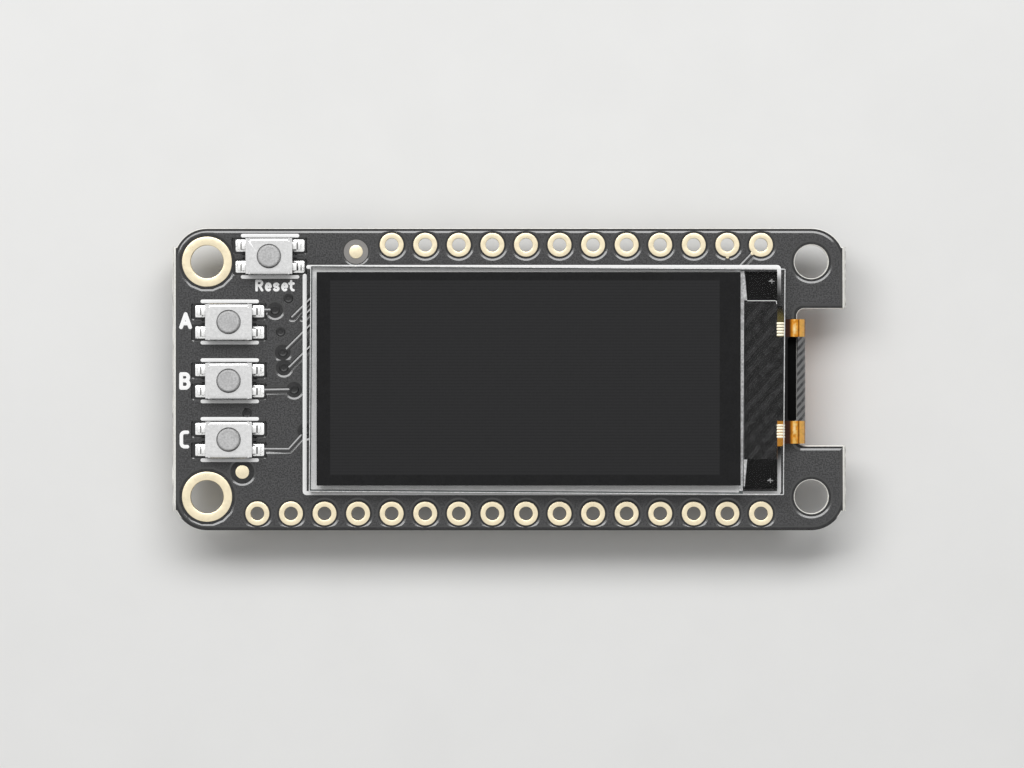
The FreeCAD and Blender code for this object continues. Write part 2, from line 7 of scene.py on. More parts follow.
import bmesh
import bpy
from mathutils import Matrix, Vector


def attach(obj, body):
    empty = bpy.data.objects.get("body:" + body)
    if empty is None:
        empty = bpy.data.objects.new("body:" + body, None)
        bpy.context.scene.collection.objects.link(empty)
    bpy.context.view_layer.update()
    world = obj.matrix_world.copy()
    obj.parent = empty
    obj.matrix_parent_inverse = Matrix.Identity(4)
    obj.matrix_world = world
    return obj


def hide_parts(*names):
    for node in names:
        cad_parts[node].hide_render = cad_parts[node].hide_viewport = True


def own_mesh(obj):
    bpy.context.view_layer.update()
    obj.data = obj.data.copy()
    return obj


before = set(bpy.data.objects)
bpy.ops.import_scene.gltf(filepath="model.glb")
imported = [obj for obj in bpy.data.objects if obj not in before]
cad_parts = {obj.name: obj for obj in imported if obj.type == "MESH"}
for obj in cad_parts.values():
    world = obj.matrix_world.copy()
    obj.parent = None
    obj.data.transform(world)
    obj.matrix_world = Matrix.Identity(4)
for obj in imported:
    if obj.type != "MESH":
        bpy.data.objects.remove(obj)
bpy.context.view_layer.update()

LOG = logging.getLogger("display_module")
METRES = 0.001          # pieces are drawn in millimetres and delivered in metres
PER_METRE = 1000
NOISE_RANGE = (0.3, 0.7)        # where nearly all values of a noise lie
LEVEL_NORMAL = 0.9      # a face whose normal rises by more than this lies level
BOARD_TOP = 1.6
BOARD_HALF = (25.4, 11.43)
POUR_RISE = 0.045       # copper under the mask, above the bare laminate's level
EDGE_RUN = 3.27         # how far a masked copper edge runs for each unit that it rises
GLASS_TURN = -0.4       # degrees
GLASS_CENTRE = (2.87, -0.08)
SWITCH_SHIFT = 0.06     # the switches' pads and bars lie this far right of their middles
FLOWED = 60.0           # pieces smoothed past this angle are solder and print, without flats

Object = bpy.types.Object
Socket = bpy.types.NodeSocket
Value = Union[float, Socket]
Colour = tuple[float, float, float]
Point = tuple[float, float]


class Pick(Enum):
    """What an edit-mode selection is made of."""

    FACE = "FACE"
    EDGE = "EDGE"
    VERT = "VERT"


class Side(Enum):
    """The board's two faces."""

    TOP = 1
    UNDERSIDE = -1

    @property
    def level(self) -> float:
        """Return the face's height."""
        return BOARD_TOP if self is Side.TOP else 0.0


def climbs(rise: float) -> Callable[[Any], bool]:
    """Return a test for the edges that climb by more than a rise."""
    return lambda edge: abs(edge.verts[0].co.z - edge.verts[1].co.z) > rise


def lies_above(level: float) -> Callable[[Any], bool]:
    """Return a test for the edges that lie above a level."""
    return lambda edge: all(vertex.co.z > level for vertex in edge.verts)


def looks_out(side: Side) -> Callable[[Any], bool]:
    """Return a test for the faces that look away from the board on one side."""
    return lambda face: face.normal.z * side.value > LEVEL_NORMAL


def is_level(face: Any) -> bool:
    """Tell whether a face lies level."""
    return abs(face.normal.z) > LEVEL_NORMAL


# Node trees

class NodeSheet:
    """A material's node tree, written from left to right."""

    def __init__(self, name: str) -> None:
        """Start a material with a Principled shader and Object coordinates.

        Args:
            name: The material's name.
        """
        self.material = bpy.data.materials.new(name)
        self.material.use_nodes = True
        self.tree = self.material.node_tree
        self.shader = self.tree.nodes["Principled BSDF"]
        self.place = self.tree.nodes.new("ShaderNodeTexCoord").outputs["Object"]

    def add(self, kind: str, **settings: Any) -> bpy.types.Node:
        """Add a node and set its properties.

        Args:
            kind: The node's type name.
            settings: Properties by name.

        Returns:
            The new node.
        """
        node = self.tree.nodes.new(kind)
        for key, value in settings.items():
            setattr(node, key, value)
        return node

    def feed(self, target: Socket, value: Any) -> None:
        """Link a socket to an input, or write a plain value into it.

        Args:
            target: The input.
            value: A socket, a number or a colour.
        """
        if isinstance(value, bpy.types.NodeSocket):
            self.tree.links.new(value, target)
        else:
            target.default_value = value

    def math(self, operation: str, *values: Value, clamp: bool = False) -> Socket:
        """Combine numbers.

        Args:
            operation: The Math node's operation.
            values: Its inputs in order.
            clamp: Whether the result is held between 0 and 1.

        Returns:
            The result's socket.
        """
        node = self.add("ShaderNodeMath", operation=operation, use_clamp=clamp)
        for target, value in zip(node.inputs, values):
            self.feed(target, value)
        return node.outputs[0]

    def times(self, first: Value, second: Value) -> Socket:
        """Multiply two numbers."""
        return self.math("MULTIPLY", first, second)

    def paint(self, colour: Socket) -> None:
        """Give the shader its colour."""
        self.feed(self.shader.inputs["Base Color"], colour)

    def fix(self, name: str, value: float) -> None:
        """Set a number on the shader's own socket."""
        self.shader.inputs[name].default_value = value

    def mix(self, share: Value, low: Union[Colour, Socket], high: Union[Colour, Socket]) -> Socket:
        """Blend two colours.

        Args:
            share: How much of the second colour shows.
            low: The first colour.
            high: The second colour.

        Returns:
            The blended colour's socket.
        """
        node = self.add("ShaderNodeMix", data_type="RGBA")
        self.feed(node.inputs["Factor"], share)
        for target, colour in zip(node.inputs[6:8], (low, high)):
            self.feed(target, (*colour, 1.0) if isinstance(colour, tuple) else colour)
        return node.outputs[2]

    def spread(self, value: Value, low: float, high: float,
               start: float = 0.0, end: float = 1.0) -> Socket:
        """Map a number from one range to another.

        Args:
            value: The number.
            low: Result at the range's start.
            high: Result at the range's end.
            start: Where the range starts.
            end: Where the range ends.

        Returns:
            The mapped number's socket.
        """
        node = self.add("ShaderNodeMapRange", interpolation_type="SMOOTHSTEP")
        for target, number in zip(node.inputs, (value, start, end, low, high)):
            self.feed(target, number)
        return node.outputs[0]

    def scaled(self, stretch: Sequence[float] = (1, 1, 1), turn: float = 0.0) -> Socket:
        """Bring Object coordinates to millimetres, stretch them and turn them about Z.

        Args:
            stretch: The factor along each axis.
            turn: The angle in degrees.

        Returns:
            The coordinates' socket.
        """
        node = self.add("ShaderNodeMapping")
        self.feed(node.inputs["Vector"], self.place)
        node.inputs["Scale"].default_value = [PER_METRE * factor for factor in stretch]
        node.inputs["Rotation"].default_value = (0, 0, math.radians(turn))
        return node.outputs[0]

    def noise(self, grain: float, detail: float = 3.0,
              stretch: Sequence[float] = (1, 1, 1), turn: float = 0.0) -> Socket:
        """Make noise whose blotches have a given size.

        Args:
            grain: The blotches' size in millimetres.
            detail: Octaves of finer noise.
            stretch: How much finer the noise is along each axis.
            turn: Degrees by which the stretched noise is turned.

        Returns:
            The noise's socket, about 0.5 on average.
        """
        node = self.add("ShaderNodeTexNoise")
        self.feed(node.inputs["Vector"], self.scaled(stretch, turn))
        node.inputs["Scale"].default_value = 1 / grain
        node.inputs["Detail"].default_value = detail
        return node.outputs[0]

    def axes(self) -> tuple[Socket, Socket, Socket]:
        """Split Object coordinates.

        Returns:
            The sockets of x, y and z in millimetres.
        """
        node = self.add("ShaderNodeSeparateXYZ")
        self.feed(node.inputs[0], self.scaled())
        return node.outputs[0], node.outputs[1], node.outputs[2]

    def level(self) -> Socket:
        """Read how far the surface faces up.

        Returns:
            The socket of a number from -1 to 1.
        """
        split = self.add("ShaderNodeSeparateXYZ")
        self.feed(split.inputs[0], self.add("ShaderNodeNewGeometry").outputs["Normal"])
        return split.outputs[2]

    def within(self, value: Value, low: float, high: float, soft: float = 0.02) -> Socket:
        """Mark where a number lies between two limits.

        Args:
            value: The number.
            low: The lower limit.
            high: The upper limit.
            soft: Half the way over which the mark fades at each limit.

        Returns:
            The socket of a number that is 1 between the limits and 0 beyond them.
        """
        rise = self.spread(value, 0.0, 1.0, low - soft, low + soft)
        fall = self.spread(value, 1.0, 0.0, high - soft, high + soft)
        return self.math("MULTIPLY", rise, fall)

    def stripes(self, value: Value, pitch: float, share: float = 0.5,
                soft: float = 0.06) -> Socket:
        """Return 1 on evenly spaced stripes that take up a share of each step."""
        phase = self.math("FRACT", self.math("DIVIDE", value, pitch))
        return self.within(phase, (1 - share) / 2, (1 + share) / 2, soft)

    def bump(self, height: Value, rise: float, strength: float = 0.6) -> None:
        """Roughen the surface.

        Args:
            height: The height pattern, 0 to 1.
            rise: The pattern's height in millimetres.
            strength: How strongly it shows.
        """
        node = self.add("ShaderNodeBump")
        node.inputs["Strength"].default_value = strength
        node.inputs["Distance"].default_value = rise * METRES
        self.feed(node.inputs["Height"], height)
        self.feed(self.shader.inputs["Normal"], node.outputs[0])


# Finishes

@dataclass(frozen=True)
class Finish:
    """A mottled surface; the other finishes add their own pattern to it."""

    name: str
    colour: Colour
    roughness: float = 0.5
    specular: float = 0.5
    metallic: float = 0.0
    mottle: float = 0.12          # share by which the colour varies
    grain: float = 0.25           # size of the blotches in millimetres
    rise: float = 0.004           # height of the fine relief in millimetres
    roughness_spread: float = 0.08
    contrast: float = 0.2         # half the range of noise over which the mottle runs
    broad: float = 0.35           # share of the mottle that is in broad blotches
    broadness: float = 9.0        # how much larger those are than the fine ones

    def material(self) -> bpy.types.Material:
        """Make the material on its first use.

        Returns:
            The material.
        """
        made = bpy.data.materials.get(self.name)
        if made is None:
            sheet = NodeSheet(self.name)
            sheet.fix("Metallic", self.metallic)
            sheet.fix("Specular IOR Level", self.specular)
            self.dress(sheet)
            made = sheet.material
        return made

    def shade(self, share: float) -> Colour:
        """Return the colour made darker or lighter by a share."""
        red, green, blue = (min(1.0, max(0.0, part * (1 + share))) for part in self.colour)
        return (red, green, blue)

    def mottled(self, sheet: NodeSheet) -> tuple[Socket, Socket]:
        """Mottle the colour with fine and broad blotches.

        Args:
            sheet: The material's node tree.

        Returns:
            The sockets of the colour and of the fine noise.
        """
        fine = sheet.noise(self.grain)
        broad = sheet.noise(self.grain * self.broadness, 2.0)
        both = sheet.math("ADD", sheet.times(fine, 1 - self.broad),
                          sheet.times(broad, self.broad))
        share = sheet.spread(both, 0.0, 1.0, 0.5 - self.contrast, 0.5 + self.contrast)
        return sheet.mix(share, self.shade(-self.mottle), self.shade(self.mottle)), fine

    def dress(self, sheet: NodeSheet) -> None:
        """Write the finish's nodes.

        Args:
            sheet: The material's node tree.
        """
        colour, fine = self.mottled(sheet)
        sheet.paint(colour)
        self.roughen(sheet, fine)

    def roughen(self, sheet: NodeSheet, fine: Socket) -> None:
        """Let the roughness and the fine relief follow a noise.

        Args:
            sheet: The material's node tree.
            fine: The noise.
        """
        low, high = self.roughness - self.roughness_spread, self.roughness + self.roughness_spread
        sheet.feed(sheet.shader.inputs["Roughness"], sheet.spread(fine, low, high, *NOISE_RANGE))
        sheet.bump(fine, self.rise)


@dataclass(frozen=True)
class BoardFinish(Finish):
    """Matt mask on both faces and pale woven laminate on every cut or broken wall, with painted
    shade in the mask's colour on the broken edge's top along the lower side.
    """

    core: Colour = (1.0, 0.99, 0.95)
    dark_core: Colour = (0.8, 0.7821, 0.7125)     # between the fibres
    fibre: float = 0.12           # thickness of the fibres in millimetres
    layer: float = 0.2            # thickness of a layer of cloth
    layer_share: float = 0.14     # how much the layers show beside the fibres
    wall_roughness: float = 0.4   # what a broken wall adds
    mask_depth: float = 0.012
    shaded_rim_span: Point = (-10.6, -10.35)     # painted shade: below this the broken edge's top is painted in the mask's colour
    shaded_rim_depth: float = 0.09       # how far down that painted shade reaches

    def dress(self, sheet: NodeSheet) -> None:
        """Show the laminate between the two mask levels, with painted shade along the lower side's
        top edge.

        Args:
            sheet: The material's node tree.
        """
        mask, fine = self.mottled(sheet)
        fibre = sheet.noise(self.fibre, 4.0, (0.5, 0.5, 2.2))
        layer = sheet.stripes(sheet.axes()[2], self.layer, 0.45)
        weave = sheet.math("ADD", sheet.times(fibre, 1 - self.layer_share),
                           sheet.times(layer, self.layer_share))
        core = sheet.mix(sheet.spread(weave, 0.0, 1.0, 0.25, 0.6), self.dark_core, self.core)
        depth = self.mask_depth
        wall = sheet.within(sheet.axes()[2], depth, BOARD_TOP - depth, depth / 2)
        # painted shade: along the lower side the broken edge's top takes the mask's colour
        top_band = sheet.within(sheet.axes()[2], BOARD_TOP - self.shaded_rim_depth, 9.0, 0.01)
        rim = sheet.math("MULTIPLY", top_band,
                         sheet.spread(sheet.axes()[1], 1.0, 0.0, *self.shaded_rim_span))
        shown = sheet.times(wall, sheet.math("SUBTRACT", 1.0, rim))
        sheet.paint(sheet.mix(shown, mask, core))
        low, high = self.roughness - self.roughness_spread, self.roughness + self.roughness_spread
        rough = sheet.math("ADD", sheet.spread(fine, low, high, *NOISE_RANGE),
                           sheet.times(wall, self.wall_roughness), clamp=True)
        sheet.feed(sheet.shader.inputs["Roughness"], rough)
        sheet.bump(sheet.math("ADD", fine, sheet.times(wall, weave)), self.rise)


@dataclass(frozen=True)
class MetalFinish(Finish):
    """Sheet metal or plating with fine drawn streaks, small dull spots and painted shade on steep
    walls.
    """

    metallic: float = 1.0
    mottle: float = 0.05
    streak: float = 0.05          # width of the streaks in millimetres
    streak_turn: float = 0.0
    streak_share: float = 0.6     # how much the streaks show beside the fine noise
    spots: float = 0.0            # how dark the small dull spots are
    spot_size: float = 0.12
    spot_shade: float = 0.12      # a spot's brightness beside the plain metal's
    wall_shade: float = 0.0            # painted shade: how much darker a steep wall is painted than a level face
    wall_shade_colour: Colour = (0.02, 0.02, 0.02)

    def dress(self, sheet: NodeSheet) -> None:
        """Write the streaks, the spots, the painted shade on steep walls and the relief.

        Args:
            sheet: The material's node tree.
        """
        colour, fine = self.mottled(sheet)
        streaks = sheet.noise(self.streak, 3.0, (0.08, 1.0, 1.0), self.streak_turn)
        if self.spots:
            spot = sheet.spread(sheet.noise(self.spot_size, 2.0), 0.0, self.spots, 0.56, 0.66)
            colour = sheet.mix(spot, colour, self.shade(self.spot_shade - 1))
        # painted shade: steep walls are painted darker, standing in for the dark surroundings that
        # they would reflect
        if self.wall_shade:
            flat = sheet.math("ABSOLUTE", sheet.level())
            steep = sheet.spread(flat, self.wall_shade, 0.0, 0.55, 0.97)
            colour = sheet.mix(steep, colour, self.wall_shade_colour)
        sheet.paint(colour)
        both = sheet.math("ADD", sheet.times(streaks, self.streak_share),
                          sheet.times(fine, 1 - self.streak_share))
        self.roughen(sheet, both)


@dataclass(frozen=True)
class GlassFinish(Finish):
    """Clear thin glass, or its ground edge when it is less clear."""

    clearness: float = 0.8
    refraction: float = 1.52

    def dress(self, sheet: NodeSheet) -> None:
        """Write the glass with faint smears.

        Args:
            sheet: The material's node tree.
        """
        super().dress(sheet)
        sheet.fix("Alpha", 1 - self.clearness)
        sheet.fix("IOR", self.refraction)


@dataclass(frozen=True)
class PrintFinish(Finish):
    """White print, shaded where it runs under the display glass."""

    glass_x: float = 20.2
    glass_soft: float = 0.02
    upper: Point = (6.1, 8.0)     # places across the board over which the upper part fades
    lower: Point = (-7.5, -5.4)
    shaded: Colour = (0.03, 0.03, 0.03)

    def dress(self, sheet: NodeSheet) -> None:
        """Fade the line under the glass towards its middle.

        Args:
            sheet: The material's node tree.
        """
        white, fine = self.mottled(sheet)
        x, y, _ = sheet.axes()
        under = sheet.spread(x, 0.0, 1.0, self.glass_x - self.glass_soft,
                             self.glass_x + self.glass_soft)
        fade = sheet.math("MULTIPLY", sheet.spread(y, 1.0, 0.0, *self.upper),
                          sheet.spread(y, 0.0, 1.0, *self.lower))
        share = sheet.times(under, fade)
        sheet.paint(sheet.mix(share, white, self.shaded))
        self.roughen(sheet, fine)


@dataclass(frozen=True)
class PolariserFinish(Finish):
    """Near-black film over the faintly lighter lit area with its rows of dots."""

    lit: Colour = (0.022, 0.022, 0.023)
    lit_centre: Point = (1.19, 0.12)
    lit_size: Point = (29.42, 14.7)
    lit_soft: float = 0.05
    rows: int = 64
    columns: int = 128
    row_share: float = 0.75       # how much the rows show beside the columns

    def dress(self, sheet: NodeSheet) -> None:
        """Write the lit area, its rows and its columns under the film.

        Args:
            sheet: The material's node tree.
        """
        base, fine = self.mottled(sheet)
        x, y, _ = sheet.axes()
        (centre_x, centre_y), (length, width) = self.lit_centre, self.lit_size
        low_x, low_y = centre_x - length / 2, centre_y - width / 2
        area = sheet.math("MULTIPLY", sheet.within(x, low_x, low_x + length, self.lit_soft),
                          sheet.within(y, low_y, low_y + width, self.lit_soft))
        row = sheet.stripes(sheet.math("SUBTRACT", y, low_y), width / self.rows, 0.7)
        column = sheet.stripes(sheet.math("SUBTRACT", x, low_x), length / self.columns, 0.8)
        dots = sheet.math("ADD", sheet.times(row, self.row_share),
                          sheet.times(column, 1 - self.row_share))
        share = sheet.times(area, sheet.spread(dots, 0.55, 1.0))
        sheet.paint(sheet.mix(share, base, self.lit))
        self.roughen(sheet, fine)


@dataclass(frozen=True)
class FlexFinish(Finish):
    """Amber film: black cover with a hatched pattern on its middle, bare at the tongues, with
    painted shade, sheen and highlights where it leaves the glass and bends.
    """

    cover: Colour = (0.012, 0.012, 0.012)
    hatch: Colour = (0.046, 0.046, 0.047)
    # painted sheen: the lighter grey of the cover where it bends
    bend: Colour = (0.19, 0.19, 0.19)
    # near black: painted shade past the glass's end and on the tail's upward faces against the
    # board; also the upper tongue under the glass, darker towards the cable's upper edge
    inside: Colour = (0.003, 0.003, 0.003)
    centre_y: float = 0.025
    bare_from: float = 3.185      # distance from the middle at which the cover ends
    cover_soft: float = 0.03
    glass_end: float = 20.82
    glass_soft: float = 0.04
    tape_end: float = 20.27
    slot_end: Point = (21.66, 21.76)      # where the bend begins beyond the fold's slot
    hatch_slope: float = 1.15
    wave_grain: float = 1.2       # the hatch's lines waver at this size
    wave_reach: float = 0.3
    patch_grain: float = 0.45     # the hatch shows in patches of this size
    streak_grain: float = 0.3
    # painted shade, painted highlight and painted glint colours of the bare film
    shade_amber: Colour = (0.03, 0.006, 0.0005)
    bright: Colour = (1.0, 0.70, 0.22)
    glint_colour: Colour = (1.0, 0.88, 0.5)
    olive: Colour = (0.12, 0.095, 0.03)
    under_amber: Colour = (0.55, 0.24, 0.03)
    shadow_end: Point = (0.36, 0.62)      # the glass shades the film this far beyond its end
    highlight_share: float = 0.4      # painted highlight: how bright the film is painted between crease and rim
    shade_line_share: float = 0.75      # painted shade: how dark the crease and the rim are painted
    # how strongly the painted hot spot shows
    glint_share: float = 0.7
    crease_x: float = 21.89
    rim_x: float = 22.34
    lead_pitch: float = 0.62
    lead_share: float = 0.55
    tail_top: Point = (0.6, 1.0)  # heights below which the folded tail begins
    coat: float = 0.1
    coat_roughness: float = 0.12

    def dress(self, sheet: NodeSheet) -> None:
        """Choose cover, bare film or leads by the place on the cable.

        Args:
            sheet: The material's node tree.
        """
        _, fine = self.mottled(sheet)
        x, y, z = sheet.axes()
        off = sheet.math("ABSOLUTE", sheet.math("SUBTRACT", y, self.centre_y))
        soft = self.cover_soft
        bare = sheet.spread(off, 0.0, 1.0, self.bare_from - soft, self.bare_from + soft)
        past_tape = sheet.spread(x, 0.0, 1.0, self.tape_end - soft, self.tape_end + soft)
        top = sheet.mix(sheet.times(bare, past_tape),
                        self.covered(sheet, x, y), self.amber(sheet, x, y, off))
        lead = sheet.stripes(sheet.math("SUBTRACT", y, self.centre_y + self.lead_pitch / 2),
                             self.lead_pitch, self.lead_share)
        tail = sheet.mix(lead, self.shade(-0.35), self.shade(0.5))
        # painted shade: the tail's upward faces, against the board's underside, are near black
        tail = sheet.mix(sheet.spread(sheet.level(), 0.0, 1.0, 0.1, 0.4), tail, self.inside)
        below = sheet.spread(z, 1.0, 0.0, *self.tail_top)
        sheet.paint(sheet.mix(below, top, tail))
        self.roughen(sheet, fine)
        sheet.fix("Coat Weight", self.coat)
        sheet.fix("Coat Roughness", self.coat_roughness)

    def past_glass(self, sheet: NodeSheet, x: Socket) -> Socket:
        """Return 1 where the cable lies beyond the glass's end."""
        return sheet.spread(x, 0.0, 1.0, self.glass_end - self.glass_soft,
                            self.glass_end + self.glass_soft)

    def covered(self, sheet: NodeSheet, x: Socket, y: Socket) -> Socket:
        """Return the black cover's colour, with its slanting hatch, painted shade past the glass's
        end and a painted sheen on the bend.

        Args:
            sheet: The material's node tree.
            x: The place along the board.
            y: The place across the board.

        Returns:
            The colour's socket.
        """
        slant = sheet.math("SUBTRACT", y, sheet.times(x, self.hatch_slope))
        waver = sheet.times(sheet.noise(self.wave_grain, 2.0), self.wave_reach)
        wave = sheet.math("ADD", slant, waver)
        patch = sheet.spread(sheet.noise(self.patch_grain), 0.15, 1.0, 0.32, 0.62)
        broad = sheet.math("ADD", sheet.times(sheet.stripes(wave, 1.3, 0.45), 0.55),
                           sheet.times(sheet.stripes(wave, 0.31, 0.5), 0.35))
        bonded = sheet.mix(sheet.times(broad, patch), self.cover, self.hatch)
        streak = sheet.math("MULTIPLY", sheet.stripes(wave, 0.62, 0.45),
                            sheet.spread(sheet.noise(self.streak_grain), 0.5, 1.0, 0.3, 0.55))
        # painted sheen on the bend, under the hatch's streaks
        outer = sheet.mix(streak, self.bend, self.hatch)
        start = sheet.math("SUBTRACT", x, sheet.times(y, 0.04))
        past_slot = sheet.spread(start, 0.0, 1.0, *self.slot_end)
        # painted shade: past the glass's end, before the bend, the cover is painted near black
        bonded = sheet.mix(self.past_glass(sheet, x), bonded, self.inside)
        return sheet.mix(past_slot, bonded, outer)

    def amber(self, sheet: NodeSheet, x: Socket, y: Socket, off: Socket) -> Socket:
        """Return the bare film's colour, with painted shade from the glass and on the crease and
        rim, and painted highlights and glints where it bends.

        Args:
            sheet: The material's node tree.
            x: The place along the board.
            y: The place across the board.
            off: The distance from the cable's middle line.

        Returns:
            The colour's socket.
        """
        film, _ = self.mottled(sheet)
        # painted shade of the glass, fading out beyond its end
        shadow_start, shadow_end = (self.glass_end + reach for reach in self.shadow_end)
        rise = sheet.spread(x, 1.0, 0.0, shadow_start, shadow_end)
        film = sheet.mix(rise, film, self.shade_amber)
        # painted highlight between the crease and the rim
        light = sheet.within(x, self.crease_x + 0.06, self.rim_x, 0.06)
        film = sheet.mix(sheet.times(light, self.highlight_share), film, self.bright)
        # painted shade on the crease and the rim
        for place, width in ((self.crease_x, 0.04), (self.rim_x + 0.07, 0.06)):
            line = sheet.within(x, place - width, place + width, 0.03)
            film = sheet.mix(sheet.times(line, self.shade_line_share), film, self.shade_amber)
        # painted glints along the film before the crease
        along = sheet.within(x, shadow_end, self.crease_x - 0.12, 0.08)
        painted_glints = sheet.times(along, sheet.spread(sheet.noise(0.35), 0.05, 0.6, 0.4, 0.6))
        film = sheet.mix(painted_glints, film, self.bright)
        # a painted hot spot of light on each tongue
        spot = sheet.math("MULTIPLY", sheet.within(x, self.glass_end + 0.66, self.crease_x - 0.24,
                                                   0.08), sheet.within(off, 3.5, 4.0, 0.3))
        film = sheet.mix(sheet.times(spot, self.glint_share), film, self.glint_colour)
        fade = sheet.spread(y, 1.0, 0.0, 4.55, 5.5)
        # under the glass the upper tongue is darker towards the cable's upper edge
        upper = sheet.mix(fade, self.inside, self.olive)
        lower_side = sheet.spread(y, 1.0, 0.0, -1.0, 1.0)
        under = sheet.mix(lower_side, upper, self.under_amber)
        return sheet.mix(self.past_glass(sheet, x), under, film)


@dataclass(frozen=True)
class LayeredFinish(Finish):
    """Ceramic that shows faint layers along its height."""

    layer: float = 0.1
    layer_share: float = 0.4
    darkness: float = 0.3

    def dress(self, sheet: NodeSheet) -> None:
        """Add the layers to the mottled colour.

        Args:
            sheet: The material's node tree.
        """
        colour, fine = self.mottled(sheet)
        layers = sheet.stripes(sheet.axes()[2], self.layer, self.layer_share)
        tinted = sheet.mix(sheet.times(layers, self.darkness), colour,
                           self.shade(-self.darkness))
        sheet.paint(tinted)
        self.roughen(sheet, fine)


@dataclass(frozen=True)
class Finishes:
    """Every finish of the module."""

    board: Finish = BoardFinish("board_mask_and_core", (0.02, 0.02, 0.0205), 0.42,
                                specular=0.3, mottle=0.4, grain=0.16, rise=0.006)
    mask: Finish = Finish("mask_over_copper", (0.034, 0.034, 0.035), 0.36,
                          specular=0.5, mottle=0.6, grain=0.11, rise=0.012, contrast=0.08,
                          broad=0.06)
    # painted shade: the copper's masked edges and the traces are painted darker than the flat
    # mask, and their gloss catches the lamp
    mask_edge_shade: Finish = Finish("copper_edge_mask_painted_shade", (0.008, 0.008, 0.008), 0.17,
                               specular=1.0, mottle=0.3, grain=0.1, rise=0.0015)
    via_mask: Finish = Finish("sunk_mask_over_via", (0.015, 0.015, 0.0155), 0.38,
                              specular=0.35, mottle=0.4, grain=0.1)
    laminate: Finish = Finish("bare_laminate", (0.24, 0.23, 0.22), 0.6, mottle=0.08, grain=0.1)
    gold: Finish = MetalFinish("gold_plate", (0.835, 0.735, 0.525), 0.3, rise=0.001, streak=0.3,
                               mottle=0.03, roughness_spread=0.04)
    print_white: Finish = PrintFinish("white_print", (1.0, 1.0, 0.995), 0.62, mottle=0.03,
                                      grain=0.08, rise=0.006)
    steel: Finish = MetalFinish("switch_sheet_steel", (0.69, 0.69, 0.688), 0.26, rise=0.002,
                                streak=0.04, mottle=0.06, grain=0.2, wall_shade=0.45,
                                roughness_spread=0.05)
    spring: Finish = MetalFinish("dome_sheet", (0.62, 0.62, 0.62), 0.25, streak_turn=90)
    tin: Finish = MetalFinish("tin_plate", (0.88, 0.88, 0.87), 0.32, rise=0.002, grain=0.1,
                              wall_shade=0.7)
    solder: Finish = MetalFinish("bright_solder", (0.90, 0.90, 0.89), 0.3, rise=0.003,
                                 grain=0.12, spots=0.6, spot_size=0.09, wall_shade=0.9)
    plunger: Finish = Finish("plunger_moulding", (0.47, 0.47, 0.47), 0.45, mottle=0.15,
                             grain=0.14, rise=0.003, contrast=0.12)
    moulding: Finish = Finish("black_moulding", (0.022, 0.022, 0.023), 0.42, grain=0.12,
                              rise=0.006, mottle=0.2)
    socket: Finish = Finish("socket_moulding", (0.028, 0.027, 0.026), 0.38, grain=0.2,
                            rise=0.006, mottle=0.2)
    epoxy: Finish = Finish("moulded_epoxy", (0.026, 0.026, 0.027), 0.55, grain=0.06, rise=0.01,
                           mottle=0.3)
    capacitor: Finish = LayeredFinish("layered_ceramic", (0.42, 0.27, 0.15), 0.42, grain=0.09,
                                      rise=0.004)
    resistor: Finish = Finish("resistor_glaze", (0.018, 0.018, 0.019), 0.25, grain=0.2)
    silicon: Finish = MetalFinish("polished_silicon", (0.16, 0.16, 0.19), 0.2, streak=0.2)
    polariser: Finish = PolariserFinish("dark_polariser", (0.011, 0.011, 0.0115), 0.38,
                                        specular=0.1, mottle=0.2, grain=0.1, rise=0.002)
    glass: Finish = GlassFinish("clear_glass", (0.004, 0.0045, 0.0045), 0.08, clearness=0.955,
                                roughness_spread=0.03, rise=0.0005, grain=1.2)
    # the frosted ground edge is paler than the glass; its near-white colour is also a painted
    # highlight
    glass_edge_glint: Finish = GlassFinish("ground_glass_edge_glints", (0.92, 0.93, 0.93), 0.3,
                                     clearness=0.1, grain=0.2, rise=0.004, mottle=0.35,
                                     contrast=0.18)
    glass_back: Finish = Finish("back_glass", (0.10, 0.115, 0.115), 0.12, mottle=0.15,
                                grain=0.6, rise=0.001)
    seal: Finish = Finish("pale_seal", (1.0, 1.0, 0.99), 0.5, mottle=0.1, grain=0.16)
    bead: Finish = Finish("sealing_bead", (0.95, 0.95, 0.95), 0.35, mottle=0.35, grain=0.16,
                          contrast=0.12)
    mark: Finish = Finish("faint_marks", (0.36, 0.36, 0.36), 0.5, grain=0.1)
    foam: Finish = Finish("black_foam", (0.006, 0.006, 0.006), 0.85, grain=0.05, rise=0.02,
                          mottle=0.4, specular=0.06)
    desiccant: Finish = Finish("drying_sheet", (0.72, 0.72, 0.70), 0.8, grain=0.06, rise=0.01)
    tape: Finish = Finish("tape_film", (0.005, 0.005, 0.005), 0.5, grain=0.2, rise=0.003,
                          specular=0.08, mottle=0.3)
    flex: Finish = FlexFinish("cable_film", (0.62, 0.22, 0.005), 0.3, mottle=0.25, grain=0.3,
                              rise=0.003, specular=0.12)
    lead: Finish = MetalFinish("cable_leads", (0.93, 0.86, 0.68), 0.4, grain=0.08)
    floor: Finish = Finish("pale_floor", (0.80, 0.80, 0.79), 0.75, mottle=0.015, grain=6.0,
                           rise=0.01, specular=0.2)


FINISH = Finishes()


# Work with operators, as at the bench

